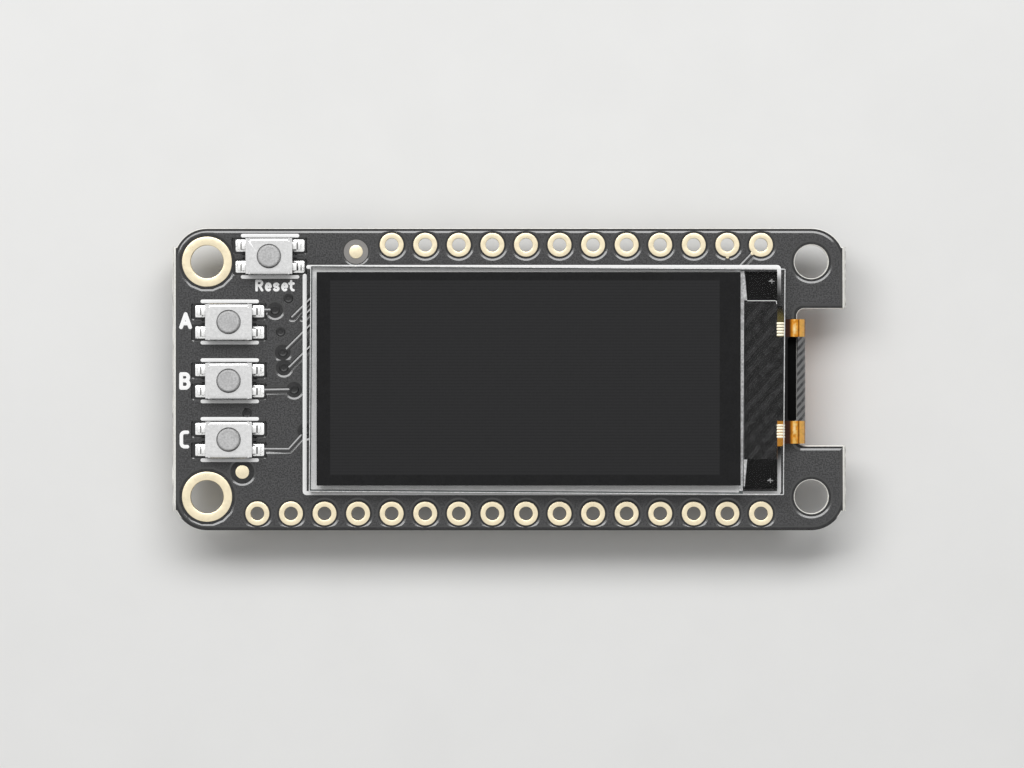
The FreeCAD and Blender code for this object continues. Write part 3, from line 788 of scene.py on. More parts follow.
class Bench:
    """Blender's operators as short steps. Each step ends in Object mode."""

    @staticmethod
    def hold(*objects: Object) -> None:
        """Select only these objects and make the first one active.

        Args:
            objects: The objects, or none.
        """
        if bpy.context.object and bpy.context.object.mode != "OBJECT":
            bpy.ops.object.mode_set(mode="OBJECT")
        bpy.ops.object.select_all(action="DESELECT")
        for one in objects:
            one.select_set(True)
        if objects:
            bpy.context.view_layer.objects.active = objects[0]

    @staticmethod
    def take_all(piece: Object) -> None:
        """Enter Edit mode with the whole mesh selected.

        Args:
            piece: The mesh to work on.
        """
        Bench.hold(piece)
        bpy.ops.object.mode_set(mode="EDIT")
        bpy.ops.mesh.select_all(action="SELECT")

    @staticmethod
    def settle(name: str) -> Object:
        """Name the new active object and write its place into its mesh.

        Args:
            name: The object's name.

        Returns:
            The object.
        """
        made = bpy.context.object
        made.name = name
        bpy.ops.object.transform_apply(location=True, rotation=True, scale=True)
        return made

    @staticmethod
    def block(name: str, low: Sequence[float], high: Sequence[float]) -> Object:
        """Add a cube primitive that fills the space between two corners.

        Args:
            name: The object's name.
            low: The lower corner.
            high: The upper corner.

        Returns:
            The block.
        """
        Bench.hold()
        size = [b - a for a, b in zip(low, high)]
        centre = [(a + b) / 2 for a, b in zip(low, high)]
        bpy.ops.mesh.primitive_cube_add(size=1, location=centre, scale=size)
        return Bench.settle(name)

    @staticmethod
    def cone(name: str, centre: Point, radii: Point, levels: Point, sides: int = 40,
             turn: float = 0.0) -> Object:
        """Add an upright cone primitive.

        Args:
            name: The object's name.
            centre: Its axis in plan.
            radii: Its radius at its lower and its upper end.
            levels: The heights of its two ends.
            sides: How many sides it has.
            turn: Degrees by which it is turned.

        Returns:
            The cone.
        """
        Bench.hold()
        middle = (levels[0] + levels[1]) / 2
        bpy.ops.mesh.primitive_cone_add(vertices=sides, radius1=radii[0], radius2=radii[1],
                                        depth=levels[1] - levels[0],
                                        location=(*centre, middle),
                                        rotation=(0, 0, math.radians(turn)))
        return Bench.settle(name)

    @staticmethod
    def pick(piece: Object, kind: Pick, test: Callable[[Any], bool]) -> int:
        """Enter Edit mode and select the faces, edges or points that pass a test.

        Args:
            piece: The mesh to work on.
            kind: Which of them are tested.
            test: Says whether one of them is taken.

        Returns:
            How many were selected.
        """
        Bench.hold(piece)
        bpy.ops.object.mode_set(mode="EDIT")
        bpy.ops.mesh.select_mode(type=kind.value)
        bpy.ops.mesh.select_all(action="DESELECT")
        mesh = bmesh.from_edit_mesh(piece.data)
        parts = {Pick.FACE: mesh.faces, Pick.EDGE: mesh.edges, Pick.VERT: mesh.verts}[kind]
        taken = [part for part in parts if test(part)]
        for part in taken:
            part.select_set(True)
        bmesh.update_edit_mesh(piece.data)
        return len(taken)

    @staticmethod
    def leave() -> None:
        """Go back to Object mode."""
        bpy.ops.object.mode_set(mode="OBJECT")

    @staticmethod
    def bevel(piece: Object, test: Callable[[Any], bool], width: float, segments: int = 2,
              clamp: bool = True) -> None:
        """Round the edges that pass a test.

        Args:
            piece: The mesh to work on.
            test: Says whether an edge is taken.
            width: The rounding's width.
            segments: How many faces the rounding has.
            clamp: Whether roundings are kept from crossing each other.
        """
        if Bench.pick(piece, Pick.EDGE, test):
            bpy.ops.mesh.bevel(offset=width, segments=segments, affect="EDGES",
                               clamp_overlap=clamp)
        Bench.leave()

    @staticmethod
    def modify(piece: Object, kind: str, **settings: Any) -> None:
        """Add a modifier and apply it.

        Args:
            piece: The mesh to work on.
            kind: The modifier's type name.
            settings: Properties by name.
        """
        Bench.hold(piece)
        step = piece.modifiers.new(kind.lower(), kind)
        for key, value in settings.items():
            setattr(step, key, value)
        bpy.ops.object.modifier_apply(modifier=step.name)

    @staticmethod
    def join(pieces: Sequence[Object], name: str) -> Object:
        """Join meshes into one object.

        Args:
            pieces: The meshes.
            name: The object's name.

        Returns:
            The object.
        """
        Bench.hold(*pieces)
        if len(pieces) > 1:
            bpy.ops.object.join()
        bpy.context.object.name = name
        return bpy.context.object

    @staticmethod
    def cut(piece: Object, cutters: Sequence[Object]) -> None:
        """Cut a piece with several cutters at once and remove them.

        Args:
            piece: The piece.
            cutters: The closed meshes that it loses.
        """
        cutter = Bench.join(cutters, "cutter")
        Bench.modify(piece, "BOOLEAN", operation="DIFFERENCE", solver="EXACT",
                     use_self=True, object=cutter)
        bpy.data.objects.remove(cutter, do_unlink=True)

    @staticmethod
    def copy(piece: Object, name: str, shift: Sequence[float]) -> Object:
        """Copy a piece with a mesh of its own and move the mesh.

        Args:
            piece: The pattern piece.
            name: The copy's name.
            shift: How far the copy lies from it.

        Returns:
            The copy.
        """
        twin = piece.copy()
        twin.data = piece.data.copy()
        bpy.context.scene.collection.objects.link(twin)
        Bench.hold(twin)
        twin.location = shift
        return Bench.settle(name)

    @staticmethod
    def repeat(piece: Object, name: str, places: Iterable[Sequence[float]]) -> Object:
        """Copy a piece to several places, remove the pattern piece and join the copies.

        Args:
            piece: The pattern piece.
            name: The joined copies' name.
            places: How far each copy lies from it.

        Returns:
            The joined copies.
        """
        copies = [Bench.copy(piece, name, (*place, 0.0)[:3]) for place in places]
        bpy.data.objects.remove(piece, do_unlink=True)
        return Bench.join(copies, name)

    @staticmethod
    def stroke(name: str, points: Sequence[Point], width: float, rise: float, level: float,
               closed: bool = False, facets: int = 3) -> Object:
        """Draw a line with round ends as a flattened tube that lies in the plane at a level.

        Args:
            name: The object's name.
            points: The line's points in plan.
            width: The line's width.
            rise: How far it stands above its level.
            level: The height of its middle plane.
            closed: Whether its ends meet.
            facets: How finely its section is rounded; 0 gives two straight slopes.

        Returns:
            The line as a mesh.
        """
        Bench.hold()
        curve = bpy.data.curves.new(name, "CURVE")
        curve.dimensions = "3D"
        curve.twist_mode = "Z_UP"
        curve.bevel_depth = width / 2
        curve.bevel_resolution = facets
        curve.use_fill_caps = True
        track = [(x, y, 1.0) for x, y in points]
        if not closed:
            track = Bench.rounded_end(track[::-1], width / 2)[::-1]
            track = Bench.rounded_end(track, width / 2)
        spline = curve.splines.new("POLY")
        spline.points.add(len(track) - 1)
        for point, (x, y, radius) in zip(spline.points, track):
            point.co = (x, y, 0.0, 1.0)
            point.radius = radius
        spline.use_cyclic_u = closed
        line = bpy.data.objects.new(name, curve)
        bpy.context.scene.collection.objects.link(line)
        Bench.hold(line)
        bpy.ops.object.convert(target="MESH")
        line = bpy.context.object
        line.scale = (1, 1, rise / (width / 2))
        line.location = (0, 0, level)
        return Bench.settle(name)

    @staticmethod
    def rounded_end(track: list[tuple[float, float, float]], reach: float
                    ) -> list[tuple[float, float, float]]:
        """Carry a track on past its last point, narrowing to a round end.

        Args:
            track: The points in plan, each with its share of the width.
            reach: The round end's radius.

        Returns:
            The longer track.
        """
        (x0, y0, _), (x1, y1, _) = track[-2], track[-1]
        length = math.hypot(x1 - x0, y1 - y0)
        way = ((x1 - x0) / length, (y1 - y0) / length)
        tail = []
        for step in (0.35, 0.62, 0.82, 0.94, 0.995):
            tail.append((x1 + way[0] * reach * step, y1 + way[1] * reach * step,
                         math.sqrt(1 - step ** 2)))
        return track + tail

    @staticmethod
    def node_copy(node: str, name: str, width: float, segments: int = 2,
                  angle: float = 35.0) -> Object:
        """Copy a node's mesh in millimetres, join its loose triangles and round its edges.

        Args:
            node: The node's name.
            name: The copy's name.
            width: The rounding's width, or 0 for none.
            segments: How many faces the rounding has.
            angle: Edges sharper than this are rounded.

        Returns:
            The copy.
        """
        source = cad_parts[node]
        twin = bpy.data.objects.new(name, source.data.copy())
        bpy.context.scene.collection.objects.link(twin)
        twin.data.materials.clear()
        Bench.hold(twin)
        twin.scale = (PER_METRE, PER_METRE, PER_METRE)
        Bench.settle(name)
        Bench.take_all(twin)
        bpy.ops.mesh.remove_doubles(threshold=0.0005)
        bpy.ops.mesh.dissolve_limited(angle_limit=math.radians(0.5))
        Bench.leave()
        if width:
            Bench.modify(twin, "BEVEL", width=width, segments=segments, limit_method="ANGLE",
                         angle_limit=math.radians(angle), use_clamp_overlap=True,
                         miter_outer="MITER_ARC", harden_normals=False)
        return twin

    @staticmethod
    def deliver(piece: Object, finish: Finish, body: str = "board", slot: Optional[str] = None,
                stands_for: Sequence[str] = (), smooth: float = 32.0) -> Object:
        """Bring a piece to metres, smooth it, dress it and hand it to its body.

        Args:
            piece: The piece, drawn in millimetres.
            finish: Its finish.
            body: The body that it rides on.
            slot: Not used.
            stands_for: The CAD nodes that it replaces.
            smooth: Edges flatter than this are shaded smooth.

        Returns:
            The piece.
        """
        Bench.hold(piece)
        piece.scale = (METRES, METRES, METRES)
        bpy.ops.object.transform_apply(location=True, rotation=True, scale=True)
        bpy.ops.object.shade_smooth_by_angle(angle=math.radians(smooth))
        if smooth < FLOWED:
            Bench.modify(piece, "WEIGHTED_NORMAL", keep_sharp=True, weight=100)
        if not piece.data.materials:
            piece.data.materials.append(finish.material())
        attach(piece, body)
        if stands_for:
            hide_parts(*stands_for)
        LOG.info("%s: %d faces, %s", piece.name, len(piece.data.polygons), finish.name)
        return piece

    @staticmethod
    def dress_node(node: str, name: str, width: float, finish: Finish, slot: str,
                   segments: int = 2, angle: float = 35.0, smooth: float = 32.0) -> Object:
        """Copy a node of the board's body, round its edges, dress it and put it in its place.

        Args:
            node: The node's name.
            name: The piece's name.
            width: The rounding's width, or 0 for none.
            finish: The piece's finish.
            slot: Passed on to deliver, which does not use it.
            segments: How many faces the rounding has.
            angle: Edges sharper than this are rounded.
            smooth: Edges flatter than this are shaded smooth.

        Returns:
            The piece.
        """
        piece = Bench.node_copy(node, name, width, segments, angle)
        return Bench.deliver(piece, finish, slot=slot, stands_for=[node], smooth=smooth)


def paint_node(node: str, finish: Finish) -> None:
    """Give a CAD node that stays visible its finish.

    Args:
        node: The node's name.
        finish: Its finish.
    """
    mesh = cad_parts[node].data
    mesh.materials.clear()
    mesh.materials.append(finish.material())
    LOG.info("%s: kept, %s", node, finish.name)


def arc(centre: Point, radii: Point, start: float, end: float, steps: int = 10) -> list[Point]:
    """Lay points along a part of an ellipse.

    Args:
        centre: The ellipse's middle.
        radii: Its two half lengths.
        start: The angle of the first point in degrees.
        end: The angle of the last point in degrees.
        steps: How many steps lie between them.

    Returns:
        The points in order.
    """
    points = []
    for index in range(steps + 1):
        angle = math.radians(start + (end - start) * index / steps)
        points.append((centre[0] + radii[0] * math.cos(angle),
                       centre[1] + radii[1] * math.sin(angle)))
    return points


# Circuit board

@dataclass
class PlatedHole:
    """A hole lined with gold plate that spreads into a ring on both faces."""

    bore_radius: float
    ring_radius: float
    rise: float = 0.058
    rounding: float = 0.03
    sides: int = 48
    slack: float = 0.02           # by how much a radius may miss its circle

    def build(self, name: str, places: Sequence[Point]) -> Object:
        """Model the lining once, as a drum bored through and rounded, and copy it.

        Args:
            name: The joined copies' name.
            places: The holes' centres.

        Returns:
            The finished piece.
        """
        drum = Bench.cone(name, (0, 0), (self.ring_radius, self.ring_radius),
                          (-self.rise, BOARD_TOP + self.rise), self.sides)
        Bench.pick(drum, Pick.FACE, is_level)
        bpy.ops.mesh.inset(thickness=self.ring_radius - self.bore_radius)
        bpy.ops.mesh.bridge_edge_loops()
        Bench.leave()
        inner, outer = self.bore_radius * (1 + self.slack), self.ring_radius * (1 - self.slack)

        def is_rim(edge: Any) -> bool:
            """Tell whether an edge lies on a face's rim, at the bore or round the ring.

            Args:
                edge: The edge.

            Returns:
                Whether it does.
            """
            height = edge.verts[0].co.z
            flat = not climbs(1e-4)(edge)
            end = min(abs(height + self.rise), abs(height - BOARD_TOP - self.rise)) < 1e-4
            radii = [vertex.co.xy.length for vertex in edge.verts]
            return flat and end and (max(radii) < inner or min(radii) > outer)

        Bench.bevel(drum, is_rim, self.rounding, 3)
        Bench.take_all(drum)
        bpy.ops.mesh.normals_make_consistent(inside=False)
        Bench.leave()
        return Bench.deliver(Bench.repeat(drum, name, places), FINISH.gold)


@dataclass
class CopperRun:
    """A trace under the mask: its middle line and the channel left free beside it."""

    points: Sequence[Point]
    width: float = 0.22
    clearance: float = 0.22
    cutter_spread: float = 1.33   # the cutter's width beside the channel's at the board
    cutter_lift: float = 0.12     # how far the cutter's middle lies off the board
    cutter_half: float = 0.14

    def channel(self, side: Side) -> Object:
        """Model the cutter that frees the trace from the pour.

        Args:
            side: The face on which the trace runs.

        Returns:
            The cutter.
        """
        wide = self.cutter_spread * (self.width + 2 * self.clearance)
        level = side.level + side.value * self.cutter_lift
        return Bench.stroke("channel", self.points, wide, self.cutter_half, level)

    def trace(self, side: Side, vias: Sequence[Point], reach: float) -> Object:
        """Return the raised trace, a low ridge with two straight slopes.

        Args:
            side: The face on which it runs.
            vias: Places at which a trace stops short of its own end.
            reach: How far it stops short there.

        Returns:
            The trace.
        """
        points = list(self.points)
        for end, inner in ((0, 1), (-1, -2)):
            if any(math.dist(points[end], via) < 0.2 for via in vias):
                share = min(0.95, reach / math.dist(points[end], points[inner]))
                points[end] = (points[end][0] + (points[inner][0] - points[end][0]) * share,
                               points[end][1] + (points[inner][1] - points[end][1]) * share)
        return Bench.stroke("trace", points, self.width, self.width / 2 / EDGE_RUN,
                            side.level, facets=0)


@dataclass
class CopperLayer:
    """The copper pour of one face as it shows through the mask, with its traces and vias."""

    side: Side
    inset: float = 0.22
    corner: float = 2.4
    pin_places: Sequence[Point] = ()
    pin_clearance: float = 1.05
    wide_rings: Sequence[Point] = ()
    wide_clearance: float = 2.13
    plain_holes: Sequence[Point] = ()
    plain_clearance: float = 1.5
    discs: Sequence[tuple[Point, float, float]] = ()
    pads: Sequence[tuple[Point, Point]] = ()
    pad_clearance: float = 0.17
    pad_run: float = 1.8
    vias: Sequence[Point] = ()
    lone_vias: Sequence[Point] = ()
    via_clearance: float = 0.6
    lone_clearance: float = 0.36
    via_radius: float = 0.42
    via_rise: float = 0.05
    via_foot: float = 0.03        # how far a via reaches into the board
    via_slope: float = 0.13       # how far its flank runs in
    via_insets: tuple[float, float, float] = (0.03, 0.1, 0.07)
    via_dips: Point = (0.035, 0.12)       # how far the last two insets sink
    notch_x: float = 21.78
    notch_y: float = 0.155
    notch_half: float = 5.175
    runs: Sequence[CopperRun] = ()

    def levels(self) -> tuple[float, float]:
        """Return the height at which a slope starts and the height of the pour's face."""
        return self.side.level, self.side.level + self.side.value * POUR_RISE

    def sloped_hole(self, centre: Point, radius: float, sides: int = 40,
                    turn: float = 0.0, run: float = EDGE_RUN) -> Object:
        """Return a round cutter that leaves a slope up to the pour's face.

        Args:
            centre: The hole's place.
            radius: Its radius at the board's level.
            sides: How many sides it has.
            turn: Degrees by which it is turned.
            run: How far its wall runs for each unit of height.

        Returns:
            The cutter.
        """
        reach = 0.04
        low, high = self.levels()
        ends = [(low - self.side.value * reach, radius - run * reach),
                (high + self.side.value * reach, radius + run * (POUR_RISE + reach))]
        ends.sort()
        return Bench.cone("cutter", centre, (ends[0][1], ends[1][1]),
                          (ends[0][0], ends[1][0]), sides, turn)

    def sloped_pad(self, centre: Point, size: Point) -> Object:
        """Return a rectangular cutter with rounded corners and sloping walls.

        Args:
            centre: The pad's place.
            size: Its length and width.

        Returns:
            The cutter.
        """
        below, above = 0.04, 0.08
        half = [length / 2 + self.pad_clearance - below * self.pad_run for length in size]
        low, high = sorted((self.side.level - below * self.side.value,
                            self.side.level + above * self.side.value))
        cutter = Bench.block("cutter", (centre[0] - half[0], centre[1] - half[1], low),
                             (centre[0] + half[0], centre[1] + half[1], high))
        Bench.bevel(cutter, climbs(below), 0.2, 4)
        run = (below + above) * self.pad_run
        Bench.pick(cutter, Pick.FACE, looks_out(self.side))
        bpy.ops.transform.resize(value=(1 + run / half[0], 1 + run / half[1], 1),
                                 center_override=(*centre, self.side.level))
        Bench.leave()
        return cutter

    def plate(self) -> Object:
        """Model the pour's plate before it is cut, with sloping sides.

        Returns:
            The plate.
        """
        below, foot = 0.02, 0.01
        reach = [half - self.inset + below * EDGE_RUN for half in BOARD_HALF]
        low, high = sorted((self.side.level - (below + foot) * self.side.value,
                            self.side.level - below * self.side.value))
        plate = Bench.block(f"copper_pour_{self.side.name.lower()}",
                            (-reach[0], -reach[1], low), (reach[0], reach[1], high))
        Bench.bevel(plate, climbs(foot / 2), self.corner, 12)
        Bench.pick(plate, Pick.FACE, looks_out(self.side))
        rise = below + POUR_RISE
        bpy.ops.mesh.inset(thickness=rise * EDGE_RUN, depth=rise)
        Bench.leave()
        return plate

    def notch_cutter(self) -> Object:
        """Model the cutter that keeps the pour clear of the board's notch.

        Returns:
            The cutter.
        """
        below, above, far = 0.05, 0.09, 27.0
        low, high = sorted((self.side.level - below * self.side.value,
                            self.side.level + above * self.side.value))
        x = self.notch_x - self.inset + below * EDGE_RUN
        half = self.notch_half + self.inset - below * EDGE_RUN
        cutter = Bench.block("cutter", (x, self.notch_y - half, low),
                             (far, self.notch_y + half, high))
        Bench.bevel(cutter, lambda edge: climbs(below)(edge) and edge.verts[0].co.x < x + 1,
                    0.6, 6)
        run = (below + above) * EDGE_RUN
        Bench.pick(cutter, Pick.FACE, looks_out(self.side))
        bpy.ops.transform.resize(value=(1 + run / (far - x), 1 + run / half, 1),
                                 center_override=(far, self.notch_y, self.side.level))
        Bench.leave()
        return cutter

    def build(self) -> None:
        """Cut the pour, then add the traces and vias."""
        plate = self.plate()
        cutters = [self.notch_cutter()]
        cutters += [self.sloped_hole(place, self.pin_clearance) for place in self.pin_places]
        cutters += [self.sloped_hole(place, self.wide_clearance, 16, 11.25)
                    for place in self.wide_rings]
        cutters += [self.sloped_hole(place, self.plain_clearance) for place in self.plain_holes]
        cutters += [self.sloped_hole(place, radius, run=run) for place, radius, run in self.discs]
        cutters += [self.sloped_hole(place, self.via_clearance, 24) for place in self.vias]
        cutters += [self.sloped_hole(place, self.lone_clearance, 24, run=self.pad_run)
                    for place in self.lone_vias]
        cutters += [self.sloped_pad(place, size) for place, size in self.pads]
        cutters += [run.channel(self.side) for run in self.runs]
        Bench.cut(plate, cutters)
        plate.data.materials.clear()
        plate.data.materials.append(FINISH.mask.material())
        plate.data.materials.append(FINISH.mask_edge_shade.material())
        # the slopes take the mask with painted shade
        for face in plate.data.polygons:
            face.material_index = 0 if abs(face.normal.z) > 0.98 else 1
        Bench.deliver(plate, FINISH.mask, slot="board_laminate", smooth=15)
        self.build_runs()

    def build_runs(self) -> None:
        """Add the traces and the tented vias."""
        name = self.side.name.lower()
        if self.runs:
            traces = Bench.join([run.trace(self.side, self.vias, self.via_radius)
                                 for run in self.runs], f"traces_{name}")
            Bench.deliver(traces, FINISH.mask_edge_shade, slot="board_laminate", smooth=15)
        places = [*self.vias, *self.lone_vias]
        if places:
            ends = sorted((self.side.level - self.side.value * self.via_foot,
                           self.side.level + self.side.value * self.via_rise))
            radii = sorted((self.via_radius, self.via_radius - self.via_slope),
                           reverse=self.side is Side.TOP)
            via = Bench.cone("via", (0, 0), (radii[0], radii[1]), (ends[0], ends[1]), 32)
            Bench.pick(via, Pick.FACE, looks_out(self.side))
            bpy.ops.mesh.inset(thickness=self.via_insets[0])
            for thickness, dip in zip(self.via_insets[1:], self.via_dips):
                bpy.ops.mesh.inset(thickness=thickness)
                bpy.ops.transform.translate(value=(0, 0, -dip * self.side.value))
            Bench.leave()
            vias = Bench.repeat(via, f"vias_{name}", places)
            Bench.deliver(vias, FINISH.via_mask, slot="board_laminate", smooth=15)


@dataclass
class CircuitBoard:
    """The board's surfaces: mask, copper, plating, bare discs and broken ends."""

    pin_counts: tuple[int, int] = (16, 12)
    pin_pitch: float = 2.54
    last_pin_x: float = 19.05
    row_y: float = 10.16
    mounting_x: float = 22.86
    mounting_y: float = 8.89
    switch_pads: Sequence[tuple[Point, Point]] = ()
    pin_lining: PlatedHole = field(
        default_factory=lambda: PlatedHole(0.51, 0.91, rounding=0.04))
    mounting_lining: PlatedHole = field(
        default_factory=lambda: PlatedHole(1.25, 1.91, rounding=0.06, sides=72))
    test_pad: Point = (-20.19, -7.02)
    alignment_disc: Point = (-11.59, 9.64)
    pad_opening: float = 0.9      # radius of the pour's hole round the test pad
    disc_opening: float = 0.98    # the same round the alignment disc
    disc_run: float = 2.4         # how far that hole's wall runs for each unit of height
    disc_radius: float = 0.52
    disc_rise: float = 0.055
    ring_radius: float = 0.93
    nub_radius: float = 0.13
    edge_break: float = 0.08
    break_steps: int = 30
    break_depth: float = 0.055
    end_zone: float = 0.35        # a broken face's middle lies this near the board's end
    end_area: float = 0.5         # and it is larger than this
    worn_zone: float = 0.16       # points this near the end are moved
    worn_margin: float = 0.3      # where they lie this far from both faces
    nubs: Sequence[Point] = ((16.52, 9.24), (18.39, 9.5))
    top_vias: Sequence[Point] = ((-17.71, 5.22), (-17.13, 2.02), (-17.05, 0.87), (-16.27, -0.8),
                                 (-15.41, -3.91))
    lone_vias: Sequence[Point] = ((-16.7, 6.11), (-17.29, 3.58), (-19.84, -2.6))
    under_vias: Sequence[Point] = ((-8.6, 7.2), (2.6, -0.55), (8.0, 3.2), (8.0, -4.4),
                                   (-10.4, -6.6), (5.2, 6.1), (-3.9, 9.3), (0.4, -6.2))

    def row(self, count: int, side: int) -> list[Point]:
        """Return a pin row's places."""
        return [(self.last_pin_x - self.pin_pitch * index, side * self.row_y)
                for index in range(count)]

    def pins(self) -> list[Point]:
        """Return the places of both pin rows."""
        return self.row(self.pin_counts[0], -1) + self.row(self.pin_counts[1], 1)

    def top_runs(self) -> list[CopperRun]:
        """List the traces that show beside the display.

        Returns:
            The traces.
        """
        return [
            CopperRun([(-18.7, -5.31), (-16.66, -5.31), (-15.45, -3.98)]),
            CopperRun([(-18.7, -0.84), (-16.28, -0.80)]),
            CopperRun([(-18.8, 5.22), (-17.71, 5.22)]),
            CopperRun([(-16.4, 4.68), (-14.6, 6.48)]),
            CopperRun([(-15.6, 4.67), (-14.6, 5.67)]),
            CopperRun([(-17.13, 2.02), (-16.8, 2.3), (-14.6, 4.5)]),
            CopperRun([(-17.05, 0.87), (-16.6, 0.9), (-14.6, 2.9)]),
            CopperRun([(18.45, 9.56), (17.2, 8.25)]),
            CopperRun([(16.51, 9.35), (16.55, 8.4)], clearance=0.1),
        ]

    def under_runs(self) -> list[CopperRun]:
        """List the traces of the underside.

        Returns:
            The traces.
        """
        runs = [CopperRun([(15.9, -0.17 + 2.1 * step), (17.1, -0.17 + 2.1 * step)])
                for step in range(-3, 4)]
        runs += [CopperRun([(14.0, -0.17 + 2.1 * step), (12.2, -0.17 + 2.1 * step),
                            (10.9 - 0.2 * abs(step), 1.1 + 2.1 * step)]) for step in (-2, 0, 2)]
        for index in range(4):
            y = -1.5 + index
            runs.append(CopperRun([(-20.3, y), (-18.3, y), (-17.1, 1.9 * (index - 1.5)),
                                   (-15.2, 1.9 * (index - 1.5))], 0.22, 0.2))
        runs += [CopperRun([(-13.2, 1.9 * step - 0.95), (-11.0, 1.9 * step - 0.95),
                            (-8.6, 1.9 * step - 3.3)], 0.22, 0.2) for step in (-1, 0, 1)]
        runs.append(CopperRun([(-6.0, 5.3), (-6.0, 7.0), (-3.9, 9.3)]))
        runs.append(CopperRun([(-5.05, 2.7), (-5.05, 1.2), (-3.3, -0.55), (2.4, -0.55)]))
        return runs

    def build(self) -> None:
        """Dress the board from its core outwards."""
        board = Bench.node_copy("circuit_board", "board_core", 0.0)
        self.break_edges(board)
        self.roughen_ends(board)
        Bench.deliver(board, FINISH.board, slot="board_laminate", stands_for=["circuit_board"])
        pins = self.pins()
        left = [(-self.mounting_x, side * self.mounting_y) for side in (1, -1)]
        right = [(self.mounting_x, side * self.mounting_y) for side in (1, -1)]
        CopperLayer(Side.TOP, pin_places=pins, wide_rings=left, plain_holes=right,
                    discs=[(self.test_pad, self.pad_opening, EDGE_RUN),
                           (self.alignment_disc, self.disc_opening, self.disc_run)],
                    pads=self.switch_pads, vias=self.top_vias, lone_vias=self.lone_vias,
                    runs=self.top_runs()).build()
        CopperLayer(Side.UNDERSIDE, pin_places=pins, wide_rings=left, plain_holes=right,
                    pads=Underside().lands(), vias=self.under_vias,
                    runs=self.under_runs()).build()
        self.pin_lining.build("pin_hole_plating", pins)
        self.mounting_lining.build("mounting_hole_plating", left)
        self.build_discs()

    def break_edges(self, board: Object) -> None:
        """Round the board's outline and its plain holes, where the pale core shows.

        Args:
            board: The board's core.
        """
        pins = self.pins()
        near = self.pin_pitch / 3

        def is_rim(edge: Any) -> bool:
            """Tell whether an edge is a rim of the board, away from the pins' holes.

            Args:
                edge: The edge.

            Returns:
                Whether it is.
            """
            flat = all(min(abs(v.co.z), abs(v.co.z - BOARD_TOP)) < 1e-3 for v in edge.verts)
            level = not climbs(1e-3)(edge)
            sharp = len(edge.link_faces) == 2 and edge.calc_face_angle(0) > 0.4
            spot = edge.verts[0].co
            return flat and level and sharp and all(
                math.hypot(spot.x - x, spot.y - y) > near for x, y in pins)

        Bench.bevel(board, is_rim, self.edge_break, 2, clamp=False)

    def roughen_ends(self, board: Object) -> None:
        """Leave the two ends, where the board was broken off, slightly uneven.

        Args:
            board: The board's core.
        """
        last = max(vertex.co.x for vertex in board.data.vertices)
        Bench.pick(board, Pick.FACE, lambda face: abs(face.normal.x) > 0.3
                   and abs(face.calc_center_median().x) > last - self.end_zone
                   and face.calc_area() > self.end_area)
        bpy.ops.mesh.subdivide(number_cuts=self.break_steps)
        Bench.leave()
        reach = last - self.break_depth
        Bench.pick(board, Pick.VERT, lambda vertex: abs(vertex.co.x) > last - self.worn_zone
                   and self.worn_margin < vertex.co.z < BOARD_TOP - self.worn_margin)
        bpy.ops.transform.resize(value=(reach / last, 1, 1), center_override=(0, 0, 0))
        bpy.ops.transform.vertex_random(offset=self.break_depth, uniform=0.0, normal=1.0, seed=3)
        Bench.leave()

    def build_discs(self) -> None:
        """Add the test pad and the alignment disc in its bare ring."""
        bare = self.low_disc("bare_ring", self.alignment_disc, self.ring_radius, 0.02)
        Bench.deliver(bare, FINISH.laminate, slot="board_laminate")
        for name, place in (("alignment_disc", self.alignment_disc), ("test_pad", self.test_pad)):
            disc = self.low_disc(name, place, self.disc_radius, self.disc_rise)
            Bench.deliver(disc, FINISH.gold)
        nub = self.low_disc("trace_nubs", (0.0, 0.0), self.nub_radius, 0.05)
        Bench.deliver(Bench.repeat(nub, "trace_nubs", self.nubs), FINISH.gold)

    @staticmethod
    def low_disc(name: str, centre: Point, radius: float, rise: float) -> Object:
        """Model a thin disc with a rounded rim on the board's top.

        Args:
            name: The disc's name.
            centre: Its place.
            radius: Its radius.
            rise: How far it stands above the bare board.

        Returns:
            The disc.
        """
        top = BOARD_TOP + rise
        disc = Bench.cone(name, centre, (radius, radius), (BOARD_TOP - 0.02, top), 48)
        Bench.bevel(disc, lambda edge: all(abs(v.co.z - top) < 1e-4 for v in edge.verts),
                    rise * 0.6, 3)
        return disc


# White print

